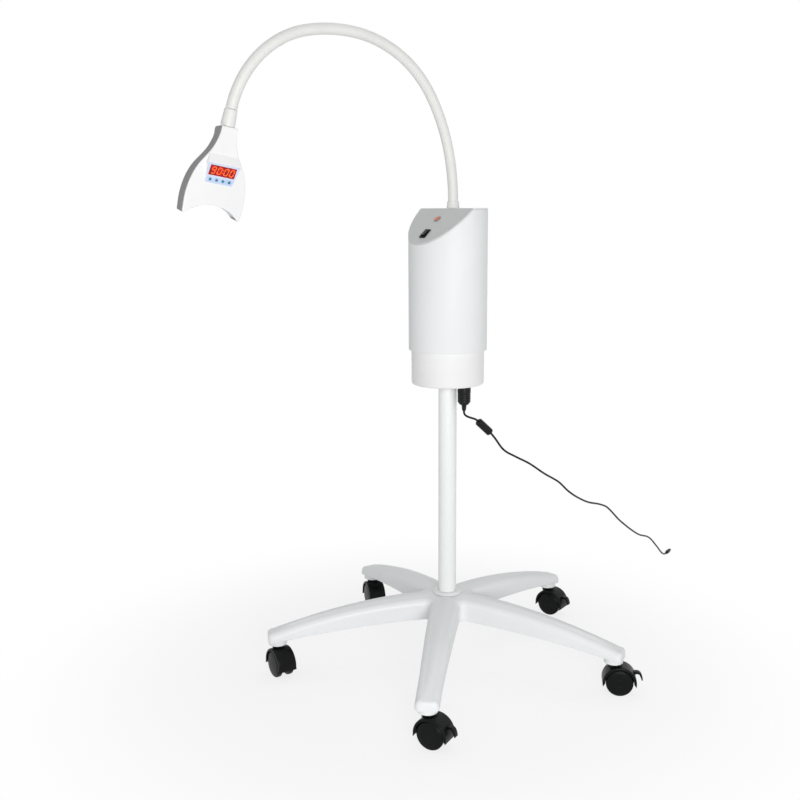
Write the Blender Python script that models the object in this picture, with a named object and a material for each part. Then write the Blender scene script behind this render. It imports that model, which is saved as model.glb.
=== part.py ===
"""Teeth whitening lamp on a five-arm castor stand.

The column stands on +Z. The lamp's front, the way the control panel faces and the neck
leans, is -Y, and the head's face looks along +X. Metres throughout.
"""
import math

import bmesh
import bpy
import numpy as np
from mathutils import Matrix, Vector

for old in list(bpy.data.objects):
    bpy.data.objects.remove(old, do_unlink=True)

# Clearance between pieces that touch, and how far a cut runs past what it cuts
GAP = 0.0003
CUT = 0.002

# Star base: castor stems stand on a circle, arms fall from hub to tip
ARM_COUNT = 5
BASE_TURN = -46.6
STEM_CIRCLE = 0.333
TIP_HEIGHT = 0.060
HUB_TOP = 0.142
HUB_BOTTOM = 0.099
HUB_RADIUS = 0.050
ARM_END = 0.0185
ARM_TIP_TOP = 0.086
ARM_TIP_BOTTOM = 0.067
ARM_ROOT_WIDTH = 0.059
ARM_TIP_WIDTH = 0.042
ARM_WALL = 0.0035
ARM_ROUND = 0.013
ARM_CREST = 0.0025
BOSS_RADIUS = 0.0178
BOSS_HEIGHT = 0.0135
WEB_RADIUS = 0.082
WEB_HALF_WIDTH = 0.0265
WEB_DROP = 0.012
SOCKET_DEPTH = 0.0395
# Shares: hub profile radii, web hollow (turn in radians, radius), stations along an arm, rounding of its end
HUB_SHARES = (0.94, 0.90, 0.70)
WEB_SHARES = ((-0.30, 1.235), (-0.15, 1.134), (0.0, 1.10), (0.15, 1.134), (0.30, 1.235))
ARM_SHARES = (0.10, 0.22, 0.36, 0.50, 0.64, 0.78, 0.90)
HOLLOW_SHARES = (0.27, 0.38, 0.50, 0.62, 0.74, 0.86)
NOSE_SHARES = ((3.0, 0.0), (1.2, 0.3), (0.0, 1.5))
SHOULDER_SHARE = 0.75

# Column tube and the flange ring at its foot
COLUMN_RADIUS = 0.0172
COLUMN_WALL = 0.0016
RING_RADIUS = 0.029
RING_HEIGHT = 0.0045
RING_LIP = 0.0015

# Power box
BOX_RADIUS = 0.0730
BOX_TOP = 0.8805
BOX_BOTTOM = 0.6210
BOX_WALL = 0.0025
PANEL_SLOPE = 42.0
PANEL_EDGE = 0.0043
PLATE_THICK = 0.0022
CAP_STEP = 0.0050
CAP_RADIUS = BOX_RADIUS - CAP_STEP
CAP_HEIGHT = 0.065
CAP_FLOOR = 0.0030
CAP_ROUND = 0.005
SPIGOT_HEIGHT = 0.012
CLAMP_FLANGE_RADIUS = 0.0230
CLAMP_RADIUS = 0.0205
CLAMP_HEIGHT = 0.060
CLAMP_FLANGE = 0.0035

# Neck: a chain of equal arcs, each with its own forward bend and sideways lean in degrees
NECK_RADIUS = 0.0093
NECK_PIECE = 0.0962
NECK_BENDS = (15.2, 18.4, 27.6, 22.8, 17.2, 32.9, 36.3)
NECK_LEANS = (0.0, 0.0, 0.0, 0.0, 4.3, 4.3, 4.4)
NECK_SETBACK = 0.0123
NECK_SEAM = 0.0106
NECK_SEAM_GAP = 0.0009
COLLAR_RADIUS = 0.0115
COLLAR_HEIGHT = 0.012
COLLAR_STEP = 0.005
COLLAR_GROOVE = 0.0009
FERRULE_LENGTH = 0.028
FERRULE_TOP_RADIUS = 0.0104
FERRULE_RADIUS = 0.0117
FERRULE_SPIGOT_RADIUS = 0.0070
FERRULE_SPIGOT = 0.012

# Head: lies in its own frame with the face up, the neck end at y = 0 and the mouth at -y
HEAD_LENGTH = 0.1470
HEAD_HALF_WIDTH = 0.0527
HEAD_FACE = 0.0120
HEAD_BACK = 0.0140
HEAD_WALL = 0.0022
HEAD_ROUND = 0.0050
HEAD_CORNER = 0.0045
COVER_THICK = 0.0030
COVER_EDGE = 0.0008
MOUTH_HALF_WIDTH = 0.0506
MOUTH_DEPTH = 0.0215

# Castors
WHEEL_RADIUS = 0.025
WHEEL_WIDTH = 0.0112
WHEEL_DOME = 0.0030
WHEEL_GAP = 0.0005
KEEL_WIDTH = 0.0132
HOOD_RADIUS = 0.0310
HOOD_CLEAR = 0.0012
AXLE_RADIUS = 0.0030
CASTOR_TRAIL = 0.0115
STEM_RADIUS = 0.0055
STEM_LENGTH = 0.020
STEM_PIN_RADIUS = 0.0042
STEM_PIN_LENGTH = 0.018
STEM_COLLAR_RADIUS = 0.0085
STEM_COLLAR = 0.0012
HOUSING_RADIUS = 0.0105
# One castor for each arm: name, turn of its trail in degrees, whether it has a brake
CASTORS = (("front_right", 22.0, True), ("right", 44.0, True), ("rear", 16.0, True),
           ("left", -20.0, False), ("front_left", -6.0, False))

# Cord
CORD_RADIUS = 0.0020


def material(name, colour, roughness, metallic=0.0):
    """A Principled BSDF of one colour."""
    made = bpy.data.materials.new(name)
    made.use_nodes = True
    shader = made.node_tree.nodes["Principled BSDF"]
    shader.inputs["Base Color"].default_value = (*colour, 1.0)
    shader.inputs["Roughness"].default_value = roughness
    shader.inputs["Metallic"].default_value = metallic
    made.diffuse_color = (*colour, 1.0)
    return made


WHITE_COAT = material("white_powder_coat", (0.86, 0.87, 0.87), 0.35)
WHITE_PLASTIC = material("white_plastic", (0.88, 0.88, 0.88), 0.30)
SLEEVE = material("neck_sleeve", (0.84, 0.83, 0.81), 0.40)
PANEL_GREY = material("panel_grey", (0.50, 0.50, 0.50), 0.45)
SHELL_GREY = material("shell_grey", (0.27, 0.27, 0.27), 0.45)
BLACK_PLASTIC = material("black_plastic", (0.02, 0.02, 0.02), 0.45)
BLACK_RUBBER = material("black_rubber", (0.015, 0.015, 0.015), 0.60)
STEEL = material("steel", (0.60, 0.60, 0.61), 0.30, 1.0)
ALUMINIUM = material("aluminium", (0.75, 0.75, 0.76), 0.35, 1.0)
BOARD_GREEN = material("board_green", (0.03, 0.20, 0.08), 0.50)
AMBER = material("amber_lens", (0.90, 0.30, 0.12), 0.20)
CREAM = material("cream_plastic", (0.80, 0.77, 0.66), 0.40)
DISPLAY_RED = material("display_red", (0.35, 0.01, 0.01), 0.15)
PANEL_BLUE = material("display_panel", (0.62, 0.76, 0.92), 0.30)
KEY_TEAL = material("key_teal", (0.10, 0.34, 0.50), 0.35)
LIGHT_WINDOW = material("light_window", (0.80, 0.84, 0.90), 0.15)


def empty(name, place=None, parent=None):
    """An empty that carries pieces; place is a Matrix or None."""
    made = bpy.data.objects.new(name, None)
    bpy.context.collection.objects.link(made)
    made.parent = parent
    if place is not None:
        made.matrix_local = place
    return made


def mesh_object(name, points, faces, finish, parent=None, place=None, smooth=True):
    """An object from points and faces, with its normals made consistent and pointing out."""
    mesh = bpy.data.meshes.new(name)
    mesh.from_pydata([tuple(point) for point in points], [], faces)
    shape = bmesh.new()
    shape.from_mesh(mesh)
    bmesh.ops.recalc_face_normals(shape, faces=shape.faces)
    shape.to_mesh(mesh)
    shape.free()
    mesh.materials.append(finish)
    if smooth:
        mesh.shade_smooth()
        mesh.set_sharp_from_angle(angle=math.radians(35))
    made = bpy.data.objects.new(name, mesh)
    bpy.context.collection.objects.link(made)
    made.parent = parent
    if place is not None:
        made.matrix_local = place
    return made


def skin(loops, closed=False):
    """Points and faces over loops of equal length; the ends are capped, or joined if closed.

    A loop of one point is a pole.
    """
    points = []
    starts = []
    for loop in loops:
        starts.append(len(points))
        points.extend(loop)
    faces = []
    pairs = list(zip(range(len(loops)), range(1, len(loops))))
    if closed:
        pairs.append((len(loops) - 1, 0))
    for low, high in pairs:
        a, b = starts[low], starts[high]
        n, m = len(loops[low]), len(loops[high])
        for i in range(max(n, m)):
            j = (i + 1) % max(n, m)
            if n == 1:
                faces.append((a, b + j, b + i))
            elif m == 1:
                faces.append((a + i, a + j, b))
            else:
                faces.append((a + i, a + j, b + j, b + i))
    if not closed:
        if len(loops[0]) > 1:
            faces.append(tuple(range(len(loops[0])))[::-1])
        if len(loops[-1]) > 1:
            faces.append(tuple(starts[-1] + i for i in range(len(loops[-1]))))
    return points, faces


def ring(radius, height, sides, turn=0.0):
    """Points round the Z axis."""
    if radius == 0:
        return [(0.0, 0.0, height)]
    return [(radius * math.cos(turn + math.tau * i / sides),
             radius * math.sin(turn + math.tau * i / sides), height) for i in range(sides)]


def turned(name, profile, sides, finish, parent=None, place=None, closed=False, turn=0.0):
    """A piece turned about its own Z axis from (radius, height) pairs."""
    loops = [ring(radius, height, sides, turn) for radius, height in profile]
    points, faces = skin(loops, closed)
    return mesh_object(name, points, faces, finish, parent, place)


def prism(name, outline, low, high, finish, parent=None, place=None):
    """An outline of (x, y) pairs raised from one height to another."""
    points, faces = skin([[(x, y, low) for x, y in outline], [(x, y, high) for x, y in outline]])
    return mesh_object(name, points, faces, finish, parent, place)


def block(name, low, high, finish, parent=None, place=None):
    """A box between two corners."""
    outline = [(low[0], low[1]), (high[0], low[1]), (high[0], high[1]), (low[0], high[1])]
    return prism(name, outline, low[2], high[2], finish, parent, place)


def circle(radius, sides, centre=(0.0, 0.0)):
    """A round outline."""
    return [(centre[0] + radius * math.cos(math.tau * i / sides),
             centre[1] + radius * math.sin(math.tau * i / sides)) for i in range(sides)]


def rounded_rectangle(width, length, corner, steps=3, centre=(0.0, 0.0)):
    """An outline with round corners, anticlockwise from the right side."""
    outline = []
    for quarter, (sx, sy) in enumerate(((1, 1), (-1, 1), (-1, -1), (1, -1))):
        cx = centre[0] + sx * (width / 2 - corner)
        cy = centre[1] + sy * (length / 2 - corner)
        for k in range(steps + 1):
            angle = math.radians(90) * (quarter + k / steps)
            outline.append((cx + corner * math.cos(angle), cy + corner * math.sin(angle)))
    return outline


def inset(outline, amount):
    """The outline moved inwards by an amount along its own normals."""
    points = np.array(outline)
    ahead = np.roll(points, -1, axis=0) - points
    behind = points - np.roll(points, 1, axis=0)
    ahead /= np.linalg.norm(ahead, axis=1)[:, None]
    behind /= np.linalg.norm(behind, axis=1)[:, None]
    first = np.stack([-ahead[:, 1], ahead[:, 0]], axis=1)
    second = np.stack([-behind[:, 1], behind[:, 0]], axis=1)
    middle = first + second
    middle /= np.linalg.norm(middle, axis=1)[:, None]
    reach = amount / np.sum(middle * first, axis=1)
    return [tuple(point) for point in points + middle * reach[:, None]]


def boolean(target, tool, operation):
    """A Boolean modifier; the tool is hidden and stays a guide."""
    step = target.modifiers.new(tool.name, "BOOLEAN")
    step.object = tool
    step.operation = operation
    step.solver = "EXACT"
    tool.hide_render = True
    tool.display_type = "WIRE"
    return target


def cut(target, tool):
    return boolean(target, tool, "DIFFERENCE")


def add(target, tool):
    return boolean(target, tool, "UNION")


def about_z(degrees, place=(0.0, 0.0, 0.0)):
    return Matrix.Translation(place) @ Matrix.Rotation(math.radians(degrees), 4, "Z")


# The stand's axis; it is moved at the end so that the part's box is centred on the origin
stand = empty("stand")


# Star base
def arm_profile(share):
    """Top, bottom and half width of an arm at a share of the way from the axis to its end."""
    reach = STEM_CIRCLE + ARM_END
    top = HUB_TOP - (HUB_TOP - ARM_TIP_TOP) * share ** 2.1
    bottom = HUB_BOTTOM - (HUB_BOTTOM - ARM_TIP_BOTTOM) * share ** 1.9
    half = (ARM_ROOT_WIDTH + (ARM_TIP_WIDTH - ARM_ROOT_WIDTH) * min(1.0, share * 1.25)) / 2
    return reach * share, top, bottom, half


def arm_section(x, top, bottom, half, wall=0.0, steps=4):
    """A section across the arm with rounded shoulders and a slight crest; a wall draws it in.

    Where the arm is thin its shoulders are rounded over a share of its height.
    """
    side = half - wall
    shoulder = top - ARM_CREST - wall
    corner = min(ARM_ROUND - wall, (shoulder - bottom) * SHOULDER_SHARE)
    right = [(x, side, bottom)]
    for k in range(steps + 1):
        angle = math.radians(90) * k / steps
        right.append((x, side - corner * (1 - math.cos(angle)),
                      shoulder - corner * (1 - math.sin(angle))))
    crest = [] if wall else [(x, 0.0, top)]
    return right + crest + [(x, -y, z) for x, y, z in right[::-1]]


def make_star_base():
    """Hub and webs, five arms hollowed from below up to their solid ends, a boss for each castor stem
    under each end, and the column's socket."""
    foot, shoulder, crown = [HUB_RADIUS * share for share in HUB_SHARES]
    hub_profile = [(0.0, HUB_BOTTOM), (foot, HUB_BOTTOM), (HUB_RADIUS, HUB_BOTTOM + ARM_CREST),
                   (HUB_RADIUS, HUB_TOP - ARM_ROUND), (shoulder, HUB_TOP - ARM_CREST),
                   (crown, HUB_TOP), (0.0, HUB_TOP)]
    base = turned("star_base", hub_profile, 32, WHITE_COAT, stand)
    # webs: one outline with a round hollow between each two arms
    outline = []
    for k in range(ARM_COUNT):
        arm_angle = math.radians(BASE_TURN + 360 / ARM_COUNT * k)
        for sign in (-1, 1):
            along = Vector((math.cos(arm_angle), math.sin(arm_angle)))
            across = Vector((-math.sin(arm_angle), math.cos(arm_angle)))
            outline.append(tuple(along * WEB_RADIUS + across * WEB_HALF_WIDTH * sign))
        middle = arm_angle + math.pi / ARM_COUNT
        for offset, share in WEB_SHARES:
            radius = HUB_RADIUS * share
            outline.append((radius * math.cos(middle + offset), radius * math.sin(middle + offset)))
    add(base, prism("base_webs", outline, HUB_BOTTOM + ARM_CREST * 2, HUB_TOP - WEB_DROP, WHITE_COAT, stand))
    turns = [about_z(BASE_TURN + 360 / ARM_COUNT * k) for k in range(ARM_COUNT)]
    bosses = [turn @ Matrix.Translation((STEM_CIRCLE, 0, TIP_HEIGHT)) for turn in turns]
    x, top, bottom, half = arm_profile(1.0)
    for k, turn in enumerate(turns):
        loops = [arm_section(*arm_profile(share)) for share in ARM_SHARES]
        # the end is a steep face with a rounded rim
        for back, drop in NOSE_SHARES:
            loops.append(arm_section(x - ARM_CREST * back, top - ARM_CREST * drop, bottom,
                                     half - ARM_CREST * drop))
        points, faces = skin(loops)
        add(base, mesh_object(f"base_arm_{k}", points, faces, WHITE_COAT, stand, turn))
    for k, turn in enumerate(turns):
        loops = []
        for share in HOLLOW_SHARES:
            along, high, low, side = arm_profile(share)
            loops.append(arm_section(along, high, low - CUT, side, ARM_WALL))
        points, faces = skin(loops)
        cut(base, mesh_object(f"arm_hollow_{k}", points, faces, WHITE_COAT, stand, turn))
    for k, place in enumerate(bosses):
        add(base, turned(f"base_boss_{k}", [(0.0, 0.0), (BOSS_RADIUS - GAP * 2, 0.0), (BOSS_RADIUS, GAP * 2),
                         (BOSS_RADIUS, BOSS_HEIGHT), (0.0, BOSS_HEIGHT)], 20, WHITE_COAT, stand, place))
        cut(base, turned(f"stem_bore_{k}", [(0.0, -CUT), (STEM_RADIUS + GAP, -CUT),
                         (STEM_RADIUS + GAP, STEM_LENGTH + GAP), (0.0, STEM_LENGTH + GAP)],
                         16, STEEL, stand, place))
    floor = HUB_TOP - SOCKET_DEPTH
    cut(base, turned("column_socket_bore", [(0.0, floor), (COLUMN_RADIUS + GAP, floor),
                     (COLUMN_RADIUS + GAP, HUB_TOP + CUT), (0.0, HUB_TOP + CUT)], 32, STEEL, stand))
    return base


make_star_base()


# Column tube, and the flange ring that covers its joint with the hub
def make_column():
    foot = HUB_TOP - SOCKET_DEPTH + GAP
    top = BOX_BOTTOM - CAP_HEIGHT + CAP_FLOOR + CLAMP_HEIGHT * 0.9
    inner = COLUMN_RADIUS - COLUMN_WALL
    turned("column_tube", [(COLUMN_RADIUS, foot), (COLUMN_RADIUS, top), (inner, top), (inner, foot)],
           32, WHITE_COAT, stand, closed=True)
    bore = COLUMN_RADIUS + GAP
    turned("column_ring", [(bore, HUB_TOP + GAP), (RING_RADIUS, HUB_TOP + GAP),
                           (RING_RADIUS, HUB_TOP + RING_HEIGHT - RING_LIP),
                           (RING_RADIUS - RING_LIP, HUB_TOP + RING_HEIGHT), (bore, HUB_TOP + RING_HEIGHT)],
           32, WHITE_PLASTIC, stand, closed=True)


make_column()


# Power box: shell, plates and cap
BOX_SIDES = 64
SLOPE = math.tan(math.radians(PANEL_SLOPE))
PANEL_RISE = PLATE_THICK / math.cos(math.radians(PANEL_SLOPE))
ROCKER_WIDTH = 0.0130
ROCKER_LENGTH = 0.0190
ROCKER_BEZEL = 0.0012
ROCKER_DOWN = 0.0675
ROCKER_CORNER = 0.0006
BEZEL_CORNER = 0.0015
LAMP_RADIUS = 0.0060
LAMP_BEZEL_RADIUS = 0.0072
LAMP_DOWN = 0.0285
LAMP_BODY = 0.020
HOUSING_DEPTH = 0.016


def fall(y):
    """How far the slanted plane lies below the flat top at y; it starts in front of the axis."""
    return min(0.0, y + PANEL_EDGE) * SLOPE


def make_box_shell():
    """A tube whose top edge follows the flat top and the slanted panel."""
    step = math.tau / BOX_SIDES
    start = math.asin(PANEL_EDGE / BOX_RADIUS)
    nick = start - GAP * 4 / BOX_RADIUS
    around = [step * k for k in range(BOX_SIDES)]
    angles = sorted(around + [math.pi + start, math.pi + nick, math.tau - start, math.tau - nick])

    def edge(x, y):
        under = PLATE_THICK if y > -PANEL_EDGE + GAP * 2 else PANEL_RISE
        return BOX_TOP - under - GAP * 2 + fall(y)

    loops = []
    for radius, upper in ((BOX_RADIUS, False), (BOX_RADIUS, True), (BOX_RADIUS - BOX_WALL, True),
                          (BOX_RADIUS - BOX_WALL, False)):
        corners = [(radius * math.cos(angle), radius * math.sin(angle)) for angle in angles]
        loops.append([(x, y, edge(x, y) if upper else BOX_BOTTOM) for x, y in corners])
    points, faces = skin(loops, closed=True)
    return mesh_object("box_shell", points, faces, WHITE_COAT, stand)


def half_disc(front, radius, edge_y, steps=32):
    """A disc's outline cut off in front of or behind the line y = edge_y."""
    start = math.asin(edge_y / radius)
    if front:
        angles = np.linspace(math.pi - start, math.tau + start, steps + 1)
    else:
        angles = np.linspace(start, math.pi - start, steps + 1)
    return [(radius * math.cos(angle), radius * math.sin(angle)) for angle in angles]


panel_frame = empty("panel_frame", Matrix.Translation((0, -PANEL_EDGE, BOX_TOP))
                    @ Matrix.Rotation(math.radians(PANEL_SLOPE), 4, "X"), stand)


def make_control_panel():
    """The slanted grey plate: its rim is cut upright, flush with the shell."""
    outline = half_disc(True, BOX_RADIUS, -PANEL_EDGE - GAP)
    loops = [[(x, y, BOX_TOP + fall(y) - PANEL_RISE) for x, y in outline],
             [(x, y, BOX_TOP + fall(y)) for x, y in outline]]
    points, faces = skin(loops)
    panel = mesh_object("control_panel", points, faces, PANEL_GREY, stand)
    hole = prism("rocker_hole", rounded_rectangle(ROCKER_WIDTH + GAP * 2, ROCKER_LENGTH + GAP * 2,
                 ROCKER_CORNER + GAP, centre=(0, -ROCKER_DOWN)), -PLATE_THICK - CUT, CUT, BLACK_PLASTIC,
                 panel_frame)
    cut(panel, hole)
    hole = prism("lamp_hole", circle(LAMP_RADIUS + GAP, 24, (0, -LAMP_DOWN)),
                 -PLATE_THICK - CUT, CUT, BLACK_PLASTIC, panel_frame)
    cut(panel, hole)
    return panel


def make_top_plate():
    """The flat white half of the top, with the hole for the neck's threaded foot."""
    plate = prism("top_plate", half_disc(False, BOX_RADIUS, -PANEL_EDGE + GAP), BOX_TOP - PLATE_THICK,
                  BOX_TOP, WHITE_COAT, stand)
    hole = prism("neck_hole", circle(NECK_RADIUS * 0.8 + GAP, 24, (0, NECK_SETBACK)),
                 BOX_TOP - PLATE_THICK - CUT, BOX_TOP + CUT, WHITE_COAT, stand)
    return cut(plate, hole)


def make_bottom_cap():
    """A cup under the shell: its spigot stands inside the shell, its floor carries the inlet."""
    low = BOX_BOTTOM - CAP_HEIGHT
    spigot = BOX_RADIUS - BOX_WALL - GAP
    wall = CAP_RADIUS - BOX_WALL
    cap = turned("bottom_cap", [(COLUMN_RADIUS + GAP, low), (CAP_RADIUS - CAP_ROUND, low),
                 (CAP_RADIUS - CAP_ROUND * 0.3, low + CAP_ROUND * 0.3), (CAP_RADIUS, low + CAP_ROUND),
                 (CAP_RADIUS, BOX_BOTTOM - GAP * 2), (spigot, BOX_BOTTOM - GAP),
                 (spigot, BOX_BOTTOM + SPIGOT_HEIGHT), (wall, BOX_BOTTOM + SPIGOT_HEIGHT),
                 (wall, low + CAP_FLOOR), (COLUMN_RADIUS + GAP, low + CAP_FLOOR)],
                 48, WHITE_PLASTIC, stand, closed=True)
    return cap


def make_column_clamp():
    """A flanged sleeve on the cap's floor that grips the column."""
    low = BOX_BOTTOM - CAP_HEIGHT + CAP_FLOOR + GAP
    bore = COLUMN_RADIUS + GAP
    return turned("column_clamp", [(bore, low), (CLAMP_FLANGE_RADIUS, low),
                  (CLAMP_FLANGE_RADIUS, low + CLAMP_FLANGE), (CLAMP_RADIUS, low + CLAMP_FLANGE * 2),
                  (CLAMP_RADIUS, low + CLAMP_HEIGHT), (bore, low + CLAMP_HEIGHT)],
                  24, STEEL, stand, closed=True)


make_box_shell()
control_panel = make_control_panel()
top_plate = make_top_plate()
bottom_cap = make_bottom_cap()
make_column_clamp()


# Rocker switch and pilot lamp, in the slanted panel's frame
ROCKER_TILT = 8.0
ROCKER_AXIS_DEPTH = 0.0012
ROCKER_WALL = 0.0012
ROCKER_RISE = 0.0022
ROCKER_CROWN_SHARE = 0.90
BEZEL_HEIGHT = 0.0018
LENS_RISE = 0.0035


def make_rocker_switch():
    housing = prism("rocker_housing", rounded_rectangle(ROCKER_WIDTH + ROCKER_BEZEL * 2,
                    ROCKER_LENGTH + ROCKER_BEZEL * 2, BEZEL_CORNER, centre=(0, -ROCKER_DOWN)),
                    GAP, BEZEL_HEIGHT, BLACK_PLASTIC, panel_frame)
    body = prism("rocker_body", rounded_rectangle(ROCKER_WIDTH, ROCKER_LENGTH, ROCKER_CORNER,
                 centre=(0, -ROCKER_DOWN)), -HOUSING_DEPTH, BEZEL_HEIGHT - GAP, BLACK_PLASTIC, panel_frame)
    add(housing, body)
    room_width = ROCKER_WIDTH - ROCKER_WALL * 2
    room_length = ROCKER_LENGTH - ROCKER_WALL * 2
    room = prism("rocker_room", rounded_rectangle(room_width, room_length, GAP, centre=(0, -ROCKER_DOWN)),
                 -HOUSING_DEPTH * 0.6, BEZEL_HEIGHT + CUT, BLACK_PLASTIC, panel_frame)
    cut(housing, room)
    # the rocker: a shallow V seen from the side, on a pivot across the switch
    half = room_length / 2 - GAP * 2
    wide = room_width / 2 - GAP
    crown = BEZEL_HEIGHT + ROCKER_RISE
    deep = -ROCKER_AXIS_DEPTH * 2.5
    tilt = math.tan(math.radians(ROCKER_TILT))
    side = [(-half * 0.96, deep * 0.5), (-half * 0.3, deep), (half * 0.3, deep), (half * 0.96, deep * 0.5),
            (half * ROCKER_CROWN_SHARE, crown - half * tilt * 1.1), (0.0, crown - half * tilt * 0.6),
            (-half * ROCKER_CROWN_SHARE, crown)]
    loops = [[(x, y, z) for y, z in side] for x in (-wide, wide)]
    pivot = empty("rocker_pivot", Matrix.Translation((0, -ROCKER_DOWN, -ROCKER_AXIS_DEPTH)), panel_frame)
    loops = [[(x, y, z + ROCKER_AXIS_DEPTH) for x, y, z in loop] for loop in loops]
    points, faces = skin(loops)
    return mesh_object("rocker", points, faces, BLACK_PLASTIC, pivot)


def make_pilot_lamp():
    """A domed amber lens on a threaded body that passes through the panel."""
    place = Matrix.Translation((0, -LAMP_DOWN, 0))
    return turned("pilot_lamp", [(0.0, -LAMP_BODY), (LAMP_RADIUS * 0.8, -LAMP_BODY),
                  (LAMP_RADIUS, -LAMP_BODY * 0.9), (LAMP_RADIUS, GAP), (LAMP_BEZEL_RADIUS, GAP),
                  (LAMP_BEZEL_RADIUS, LENS_RISE * 0.3),
                  (LAMP_RADIUS, LENS_RISE * 0.5), (LAMP_RADIUS * 0.7, LENS_RISE * 0.85), (0.0, LENS_RISE)],
                  20, AMBER, panel_frame, place)


make_rocker_switch()
make_pilot_lamp()


# Inside the box: the power board stands on the cap's clamp, the inlet sits in the cap's floor
BOARD_WIDTH = 0.080
BOARD_HEIGHT = 0.130
BOARD_THICK = 0.0016
BOARD_BACK = 0.030
# The board's lumps: span across and up as shares of its width and height, depth as a share of its width
BOARD_PARTS = (((-0.30, 0.30, 0.45, 0.75), 0.30), ((0.10, 0.38, 0.12, 0.34), 0.22),
               ((-0.38, -0.12, 0.12, 0.30), 0.18))
INLET_RADIUS = 0.0120
INLET_NUT = 0.0030
INLET_DEPTH = 0.018
INLET_PLACE = (0.034, 0.0113)
PLUG_RADIUS = 0.0125
PLUG_LENGTH = 0.034
RELIEF_RADIUS = 0.0042
RELIEF_LENGTH = 0.012


def make_power_board():
    """A board with its transformer and capacitors, held in the cap's spigot by two slotted ears."""
    low = BOX_BOTTOM - CAP_HEIGHT + CAP_FLOOR + GAP
    board = block("power_board", (-BOARD_WIDTH / 2, BOARD_BACK, low),
                  (BOARD_WIDTH / 2, BOARD_BACK + BOARD_THICK, low + BOARD_HEIGHT), BOARD_GREEN, stand)
    for k, ((x0, x1, z0, z1), depth_share) in enumerate(BOARD_PARTS):
        corner = (BOARD_WIDTH * x0, BOARD_BACK + BOARD_THICK / 2, low + BOARD_HEIGHT * z0)
        far_corner = (BOARD_WIDTH * x1, BOARD_BACK + BOARD_WIDTH * depth_share, low + BOARD_HEIGHT * z1)
        add(board, block(f"board_part_{k}", corner, far_corner, BOARD_GREEN, stand))
    return board


def make_inlet():
    """The round socket in the cap's floor; its ring nut shows under the box."""
    low = BOX_BOTTOM - CAP_HEIGHT
    place = Matrix.Translation((*INLET_PLACE, low))
    bore = INLET_RADIUS + GAP
    hole = turned("inlet_hole", [(0.0, -CUT), (bore, -CUT), (bore, CAP_FLOOR + CUT), (0.0, CAP_FLOOR + CUT)],
                  24, BLACK_PLASTIC, stand, place)
    cut(bottom_cap, hole)
    nut_radius = INLET_RADIUS * 1.2
    turned("inlet_socket", [(0.0, -INLET_NUT), (nut_radius * 0.93, -INLET_NUT), (nut_radius, -INLET_NUT * 0.7),
           (nut_radius, -GAP), (INLET_RADIUS, -GAP), (INLET_RADIUS, INLET_DEPTH), (0.0, INLET_DEPTH)],
           20, CREAM, stand, place)
    top = -INLET_NUT - GAP
    turned("power_plug", [(0.0, top), (PLUG_RADIUS, top), (PLUG_RADIUS, top - PLUG_LENGTH * 0.8),
           (PLUG_RADIUS * 0.8, top - PLUG_LENGTH), (RELIEF_RADIUS * 1.3, top - PLUG_LENGTH),
           (RELIEF_RADIUS, top - PLUG_LENGTH - RELIEF_LENGTH), (0.0, top - PLUG_LENGTH - RELIEF_LENGTH)],
           20, BLACK_PLASTIC, stand, place)


make_power_board()
make_inlet()


# Neck: path, collar and the chain of pieces
def neck_turn(bend, lean):
    """The neck's direction after so many degrees of forward bend and sideways lean."""
    return Matrix.Rotation(math.radians(bend), 4, "X") @ Matrix.Rotation(-math.radians(lean), 4, "Y")


def neck_frames(start, steps):
    """Frames along the neck: place and axes at each step of each piece, and the one past the last."""
    frames = []
    place = Vector(start)
    bend = 0.0
    lean = 0.0
    for piece_bend, piece_lean in zip(NECK_BENDS, NECK_LEANS):
        for _ in range(steps):
            frames.append(Matrix.Translation(place) @ neck_turn(bend, lean))
            middle = neck_turn(bend + piece_bend / steps / 2, lean + piece_lean / steps / 2)
            place = place + middle @ Vector((0, 0, NECK_PIECE / steps))
            bend += piece_bend / steps
            lean += piece_lean / steps
    frames.append(Matrix.Translation(place) @ neck_turn(bend, lean))
    return frames


NECK_FOOT = BOX_TOP + COLLAR_HEIGHT
PIECE_STEPS = 6
neck_path = neck_frames((0, NECK_SETBACK, NECK_FOOT), PIECE_STEPS)


def placed_ring(frame, radius, along, sides):
    """A ring about a frame's own Z axis, a distance along it, in the parent's coordinates."""
    if radius == 0:
        return [tuple(frame @ Vector((0, 0, along)))]
    return [tuple(frame @ Vector(point)) for point in ring(radius, along, sides)]


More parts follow.
